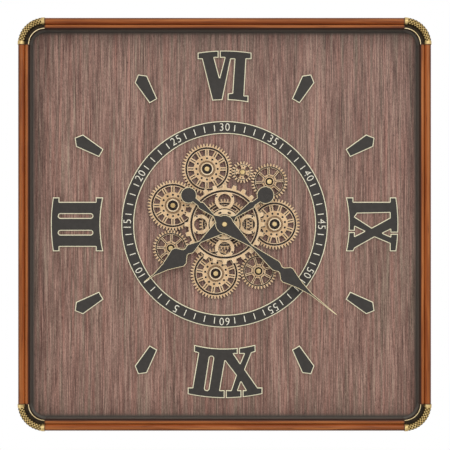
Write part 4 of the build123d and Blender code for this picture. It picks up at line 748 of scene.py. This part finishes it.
pattern = first_tick()
minutes = [minute for minute in range(60) if minute % 5]
ticks = join([around_dial(copy_of(pattern), minute) for minute in minutes], "minute_ticks")
bpy.data.objects.remove(pattern)
print("minute ticks:", len(minutes))

# %% [markdown]
# Pale ink is matt and a little uneven, so its colour wanders slightly. Both prints move with the
# clock itself, since the ring is fixed to the board.

# %% The ink
INK_TONES = ((0.3, srgb(238, 230, 206)), (0.6, srgb(255, 250, 232)))


def pale_ink():
    finish = Finish("pale_ink", roughness=0.6)
    cover = finish.noise(even(420.0), detail=3.0)
    return finish.done(finish.ramp(cover, *INK_TONES), bump=(cover, 0.05, 0.1 * MM))


finishes["ink"] = pale_ink()
for print_piece in (numbers, ticks):
    dress(print_piece, "ink")
    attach(print_piece, "clock")
print("ink on", numbers.name, "and", ticks.name)

# %% [markdown]
# ## Corner castings
# Each corner is a brass casting swept round a quarter circle: a half-round band outside, a sunk
# channel, and a slim bead inside. Three rings could be stacked, but one section keeps the casting
# in one skin. It begins as a flat rectangle, and a helper picks those of its vertices that lie in a
# given place, as a hand would with a box.

# %% Places on a corner
CORNER_AT = 260.7 * MM
BAND_OUTER_R = 39.3 * MM
BAND_INNER_R = 29.1 * MM
CHANNEL_INNER_R = 24.3 * MM
BEAD_INNER_R = 22.1 * MM
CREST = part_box("corner_top_right")[0].y
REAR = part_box("corner_top_right")[1].y
CHANNEL_FLOOR = CREST + 8.0 * MM
BEAD_CREST = CREST + 3.6 * MM
BAND_CENTRE_R = (BAND_OUTER_R + BAND_INNER_R) / 2
BAND_ROUND = (BAND_OUTER_R - BAND_INNER_R) / 2
HAIR = 0.01 * MM


def flat_section(inner_r, outer_r, front, rear):
    """A rectangle in the plane that cuts the corner at its right-hand end."""
    bpy.ops.mesh.primitive_plane_add(size=1.0)
    section = bpy.context.object
    section.scale = (outer_r - inner_r, rear - front, 1.0)
    section.location = (CORNER_AT + (inner_r + outer_r) / 2, (front + rear) / 2, CORNER_AT)
    return settle(section)


def pick(section, inner_r, outer_r, front, rear):
    """Select the vertices of a section inside a span of radius and of depth."""
    bpy.ops.mesh.select_all(action="DESELECT")
    bpy.ops.object.mode_set(mode="OBJECT")
    for vertex in section.data.vertices:
        reach = vertex.co.x - CORNER_AT
        vertex.select = (inner_r - HAIR < reach < outer_r + HAIR
                         and front - HAIR < vertex.co.y < rear + HAIR)
    bpy.ops.object.mode_set(mode="EDIT")


print(f"the band is {2 * BAND_ROUND / MM:.1f} mm wide and {(REAR - CREST) / MM:.1f} mm deep")

# %% [markdown]
# The rectangle is divided into three strips, the two outer ones are raised, and their shoulders are
# bevelled until they are round. The band is cut a little low here, because rows of leaves and dots
# and two plain collars stand on it.

# %% The section of a corner
BAND_SINK = 0.7 * MM
BEAD_ROUND = 1.0 * MM
BAND_STEPS = 7
BEAD_STEPS = 5


def raise_strip(section, inner_r, outer_r, rise):
    """Extrude the front edge of one strip of a section forwards."""
    pick(section, inner_r, outer_r, CHANNEL_FLOOR, CHANNEL_FLOOR)
    bpy.ops.mesh.select_mode(type="EDGE")
    bpy.ops.mesh.extrude_edges_move(TRANSFORM_OT_translate={"value": (0.0, -rise, 0.0)})
    bpy.ops.mesh.select_mode(type="VERT")


def casting_section():
    section = flat_section(BEAD_INNER_R, BAND_OUTER_R - BAND_SINK, CHANNEL_FLOOR, REAR)
    for radius in (CHANNEL_INNER_R, BAND_INNER_R + BAND_SINK):
        edit(section)
        bpy.ops.mesh.bisect(plane_co=(CORNER_AT + radius, 0.0, 0.0), plane_no=(1.0, 0.0, 0.0))
        close_edit()
    edit(section)
    raise_strip(section, BAND_INNER_R, BAND_OUTER_R, CHANNEL_FLOOR - CREST - BAND_SINK)
    pick(section, BAND_INNER_R, BAND_OUTER_R, CREST, CREST + BAND_SINK)
    bpy.ops.mesh.bevel(offset=BAND_ROUND - BAND_SINK - HAIR, segments=BAND_STEPS,
                       affect="VERTICES")
    raise_strip(section, BEAD_INNER_R, CHANNEL_INNER_R, CHANNEL_FLOOR - BEAD_CREST)
    pick(section, BEAD_INNER_R, CHANNEL_INNER_R, BEAD_CREST, BEAD_CREST)
    bpy.ops.mesh.bevel(offset=BEAD_ROUND, segments=BEAD_STEPS, affect="VERTICES")
    return close_edit()


casting = casting_section()
print("the section has", len(casting.data.vertices), "vertices")

# %% [markdown]
# Spinning the section about the corner's own centre makes the casting. A spin can leave doubled
# vertices and faces that look inwards, so doubles are merged first and the normals are then turned
# outwards.

# %% Spin the casting
QUARTER = pi / 2
CASTING_STEPS = 30
MERGE_WITHIN = 1e-6
SMOOTH_BELOW = radians(40)


def swept(section, turn, steps):
    """Spin a section about the corner's centre and clean the result."""
    edit(section)
    bpy.ops.mesh.spin(steps=steps, angle=turn, center=(CORNER_AT, 0.0, CORNER_AT),
                      axis=(0.0, 1.0, 0.0))
    bpy.ops.mesh.select_all(action="SELECT")
    bpy.ops.mesh.remove_doubles(threshold=MERGE_WITHIN)
    bpy.ops.mesh.normals_make_consistent(inside=False)
    solid = close_edit()
    bpy.ops.object.shade_smooth_by_angle(angle=SMOOTH_BELOW)
    return solid


swept(casting, QUARTER, CASTING_STEPS)
print("the casting measures", [round(side / MM, 1) for side in casting.dimensions], "mm")

# %% [markdown]
# ## Cast ornament on the band
# The band is cast with a running pattern: gold leaves that lean to and fro, and rows of dots
# between them that hold dark patina. A bump in the finish could only hint at them and would not
# show in the outline, so they are shapes. Each is half a ball, stretched and tilted for a leaf. One
# is modelled for each row and copied round the quarter circle between the collars.

# %% Rows of leaves and dots
COLLAR_TURN = radians(8.0)
ORNAMENT_TURN = QUARTER - 2 * COLLAR_TURN
REPEATS = 10
FIRST_STEP = 0.25
LEAF = (1.15 * MM, 1.15 * MM, 1.60 * MM)
LEAF_REACH = BAND_ROUND - 0.1 * MM - LEAF[0]
LEAF_ROWS = ((-54.0, 35.0, 0.0), (-18.0, -35.0, 0.5), (18.0, 35.0, 0.0), (54.0, -35.0, 0.5))
DOT = (1.15 * MM, 1.15 * MM, 1.15 * MM)
DOT_REACH = BAND_ROUND - BAND_SINK - 0.45 * MM
DOT_ROWS = ((-54.0, 0.0, 0.5), (-18.0, 0.0, 0.0), (18.0, 0.0, 0.5), (54.0, 0.0, 0.0),
            (82.0, 0.0, 0.25))


def half_ball(size, lean, tilt):
    """Half a ball that leans off the band's crest and is tilted where it stands."""
    bpy.ops.mesh.primitive_uv_sphere_add(segments=10, ring_count=6, radius=1.0)
    ball = bpy.context.object
    ball.scale = size
    settle(ball)
    outwards = Vector((sin(lean), -cos(lean), 0.0))
    ball.rotation_euler = Matrix.Rotation(tilt, 3, outwards).to_euler()
    settle(ball)
    edit(ball)
    bpy.ops.mesh.bisect(plane_co=(0.0, 0.0, 0.0), plane_no=outwards, clear_inner=True)
    return close_edit()


def on_band(thing, reach, lean, turn):
    """Set an object so far from the middle of the band, at a turn round the corner."""
    radius = BAND_CENTRE_R + reach * sin(lean)
    thing.rotation_euler = (0.0, -turn, 0.0)
    thing.location = (CORNER_AT + radius * cos(turn), CREST + BAND_ROUND - reach * cos(lean),
                      CORNER_AT + radius * sin(turn))
    return settle(thing)


def ornament(rows, size, reach, name):
    """Rows of (lean, tilt, offset) round the band, joined into one object."""
    cast = []
    for lean, tilt, offset in rows:
        first = half_ball(size, radians(lean), radians(tilt))
        for place in range(REPEATS):
            turn = COLLAR_TURN + ORNAMENT_TURN / REPEATS * (place + FIRST_STEP + offset)
            cast.append(on_band(copy_of(first), reach, radians(lean), turn))
        bpy.data.objects.remove(first)
    joined = join(cast, name)
    bpy.ops.object.shade_smooth()
    return joined


leaves = ornament(LEAF_ROWS, LEAF, LEAF_REACH, "corner_leaves")
dots = ornament(DOT_ROWS, DOT, DOT_REACH, "corner_dots")
print("one corner has", REPEATS * len(LEAF_ROWS), "leaves and", REPEATS * len(DOT_ROWS), "dots")

# %% [markdown]
# ## Collars
# A plain collar closes the casting at each end, where it meets a rail. Both are short sweeps of a
# full half-round that runs down the side almost to the back, so the section and the spin of the
# casting serve again.

# %% The collars
COLLAR_SHORT = 0.3 * MM
COLLAR_ROUND = 0.98 * BAND_ROUND
COLLAR_STEPS = 4


def collar(start):
    section = flat_section(BAND_INNER_R, BAND_OUTER_R, CREST, REAR - COLLAR_SHORT)
    edit(section)
    pick(section, BAND_INNER_R, BAND_OUTER_R, CREST, CREST)
    bpy.ops.mesh.bevel(offset=COLLAR_ROUND, segments=BAND_STEPS, affect="VERTICES")
    close_edit()
    ring = swept(section, COLLAR_TURN, COLLAR_STEPS)
    bpy.context.scene.cursor.location = (CORNER_AT, 0.0, CORNER_AT)
    choose(ring)
    bpy.ops.object.origin_set(type="ORIGIN_CURSOR")
    ring.rotation_euler = (0.0, -start, 0.0)
    return settle(ring)


collars = join([collar(0.0), collar(QUARTER - COLLAR_TURN)], "corner_collars")
bpy.context.scene.cursor.location = (0.0, 0.0, 0.0)
print(f"a collar is {BAND_CENTRE_R * COLLAR_TURN / MM:.1f} mm long")

# %% [markdown]
# ## One whole corner
# The faces of the casting are sorted by where they lie, which is quicker and surer than picking
# them by hand. The band is brass, and the slim inner bead is rubbed bright except on its inner
# side. That side and the channel are dark with patina, like the dots, and the band's outer foot is
# dark too. The wall inside the opening is grey with a black painted shadow along its front edge,
# like that of the rails. The casting, its ornament and its collars are then joined.

# %% Finish and join the corner
LINING_TONES = ((0.35, srgb(114, 111, 104)), (0.70, srgb(98, 95, 88)))
BRASS, DARK, BRIGHT, LINING = range(4)
FOOT_FROM_R, FOOT_TO = BAND_OUTER_R - BAND_SINK - 0.9 * MM, CREST + BAND_ROUND + 0.5 * MM
BAND_FROM_R, BACK_FROM = BAND_INNER_R + 1.2 * BAND_SINK, REAR - 0.5 * MM
RUBBED_FROM_R, BEAD_TO = BEAD_INNER_R + 0.7 * MM, BEAD_CREST + 1.1 * MM
LINING_TO_R = BEAD_INNER_R + 0.2 * MM


def corner_lining():
    finish = Finish("corner_lining", roughness=0.65)
    cloud = finish.noise(even(160.0), detail=5.0)
    grey = finish.ramp(cloud, *LINING_TONES)
    # Grey lining, with the black painted shadow along its front edge.
    return finish.done(blackened_wall(finish, grey), bump=(cloud, 0.05, 0.1 * MM))


def casting_finish(reach, depth):
    """Which finish a face of the casting takes, from its radius and its y."""
    # The band's outer foot is dark.
    if reach > FOOT_FROM_R and depth < FOOT_TO:
        return DARK
    if reach > BAND_FROM_R or depth > BACK_FROM:
        return BRASS
    if reach < CHANNEL_INNER_R and depth < BEAD_TO:
        return BRIGHT if reach > RUBBED_FROM_R else DARK
    return LINING if reach < LINING_TO_R else DARK


def sort_casting_faces(solid):
    for finish in ("corner", "channel", "bead", "lining"):
        solid.data.materials.append(finishes[finish])
    for face in solid.data.polygons:
        reach = Vector((face.center.x - CORNER_AT, face.center.z - CORNER_AT)).length
        face.material_index = casting_finish(reach, face.center.y)


finishes["lining"] = corner_lining()
sort_casting_faces(casting)
dress(leaves, "collar")
dress(dots, "patina")
dress(collars, "collar")
corner = join([casting, leaves, dots, collars], "corner_casting")
print("one corner has", len(corner.data.polygons), "faces")

# %% [markdown]
# ## Four corners
# The same casting serves all four corners, turned a quarter each time about the middle of the dial.
# A mirror would do as well, but would turn the copies inside out. Each copy stands in for the plain
# corner of the loaded model and moves with the clock.

# %% Place the corners
CORNERS = ("corner_top_right", "corner_bottom_right", "corner_bottom_left", "corner_top_left")
for step, node in enumerate(CORNERS):
    piece = copy_of(corner)
    piece.name = f"cast_{node}"
    piece.data.name = piece.name
    piece.rotation_euler = (0.0, step * QUARTER, 0.0)
    settle(piece)
    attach(piece, "clock")
    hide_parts(node)
bpy.data.objects.remove(corner)
print("corners placed:", ", ".join(CORNERS))

# %% [markdown]
# ## Camera
# The clock is photographed straight on and upside down, from about a metre and a half. The clock
# could be turned over for it, but then every place on it would be upside down too. So the camera,
# which looks along +y, is rolled by half a turn: twelve comes to the bottom of the picture while
# the clock itself stays upright.

# %% The camera
CAMERA_AT = (-0.0006, -1.503, 0.0010)
LENS = 81.5
SENSOR = 36.0

bpy.ops.object.camera_add(location=CAMERA_AT, rotation=(pi / 2, pi, 0.0))
camera = bpy.context.object
camera.data.lens = LENS
camera.data.sensor_width = SENSOR
bpy.context.scene.camera = camera
bpy.context.scene.view_settings.view_transform = "Standard"
print(f"the camera is {BOARD_FACE - camera.location.y:.3f} m in front of the board")

# %% [markdown]
# ## Light
# The light is a product shot's: a wide soft box in front, a weaker one to the side, and white all
# round. The world is white to the camera and in reflections, and lights the rest at a plain level,
# so the background is white without more light on the clock.

# %% Lamps and world
AMBIENT = 0.5


def soft_box(name, place, size, power):
    """A square lamp that faces the middle of the clock."""
    bpy.ops.object.light_add(type="AREA", location=place)
    lamp = bpy.context.object
    lamp.name = name
    lamp.data.size = size
    lamp.data.energy = power
    lamp.rotation_euler = (-Vector(place)).to_track_quat("-Z", "Y").to_euler()


def white_world(ambient):
    world = bpy.data.worlds.new("white_room")
    world.use_nodes = True
    bpy.context.scene.world = world
    tree = world.node_tree
    background = tree.nodes["Background"]
    path = tree.nodes.new("ShaderNodeLightPath")
    seen = path.outputs["Is Camera Ray"]
    for ray in ("Is Glossy Ray", "Is Transmission Ray"):
        either = tree.nodes.new("ShaderNodeMath")
        either.operation = "MAXIMUM"
        tree.links.new(seen, either.inputs[0])
        tree.links.new(path.outputs[ray], either.inputs[1])
        seen = either.outputs[0]
    strength = tree.nodes.new("ShaderNodeMapRange")
    strength.inputs["To Min"].default_value = ambient
    strength.inputs["To Max"].default_value = 1.0
    tree.links.new(seen, strength.inputs["Value"])
    tree.links.new(strength.outputs[0], background.inputs["Strength"])
    background.inputs["Color"].default_value = (1.0, 1.0, 1.0, 1.0)


soft_box("front_box", place=(-0.35, -2.2, -0.9), size=1.6, power=24.5)
soft_box("side_box", place=(1.6, -1.6, 0.9), size=1.2, power=3.5)
white_world(AMBIENT)

# %% [markdown]
# ## Floor
# A floor under the clock keeps a soft shadow; it ends behind the clock, out of the main view. It is
# a matt white sheet. A share of its white is given off by itself, so that it stays pale without
# more light on the clock, and the rest takes the clock's shadow.

# %% The floor
FLOOR_AT = (0.0, 0.0, -0.62)
FLOOR_SIZE = (3.2, 2.0, 1.0)
FLOOR_WHITES = ((0.0, srgb(244, 244, 244)), (1.0, srgb(252, 252, 252)))
FLOOR_GLOW = 0.55


def floor_white():
    finish = Finish("floor_white", roughness=0.9)
    wash = finish.noise(even(3.0), detail=2.0)
    white = finish.ramp(wash, *FLOOR_WHITES)
    finish.tree.links.new(white, finish.shader.inputs["Emission Color"])
    finish.shader.inputs["Emission Strength"].default_value = FLOOR_GLOW
    return finish.done(white)


bpy.ops.mesh.primitive_plane_add(size=1.0, location=FLOOR_AT)
floor = bpy.context.object
floor.name = "floor"
floor.scale = FLOOR_SIZE
settle(floor)
finishes["floor"] = floor_white()
dress(floor, "floor")
print("floor", [round(side, 2) for side in floor.dimensions], "m")

# %% [markdown]
# ## The end
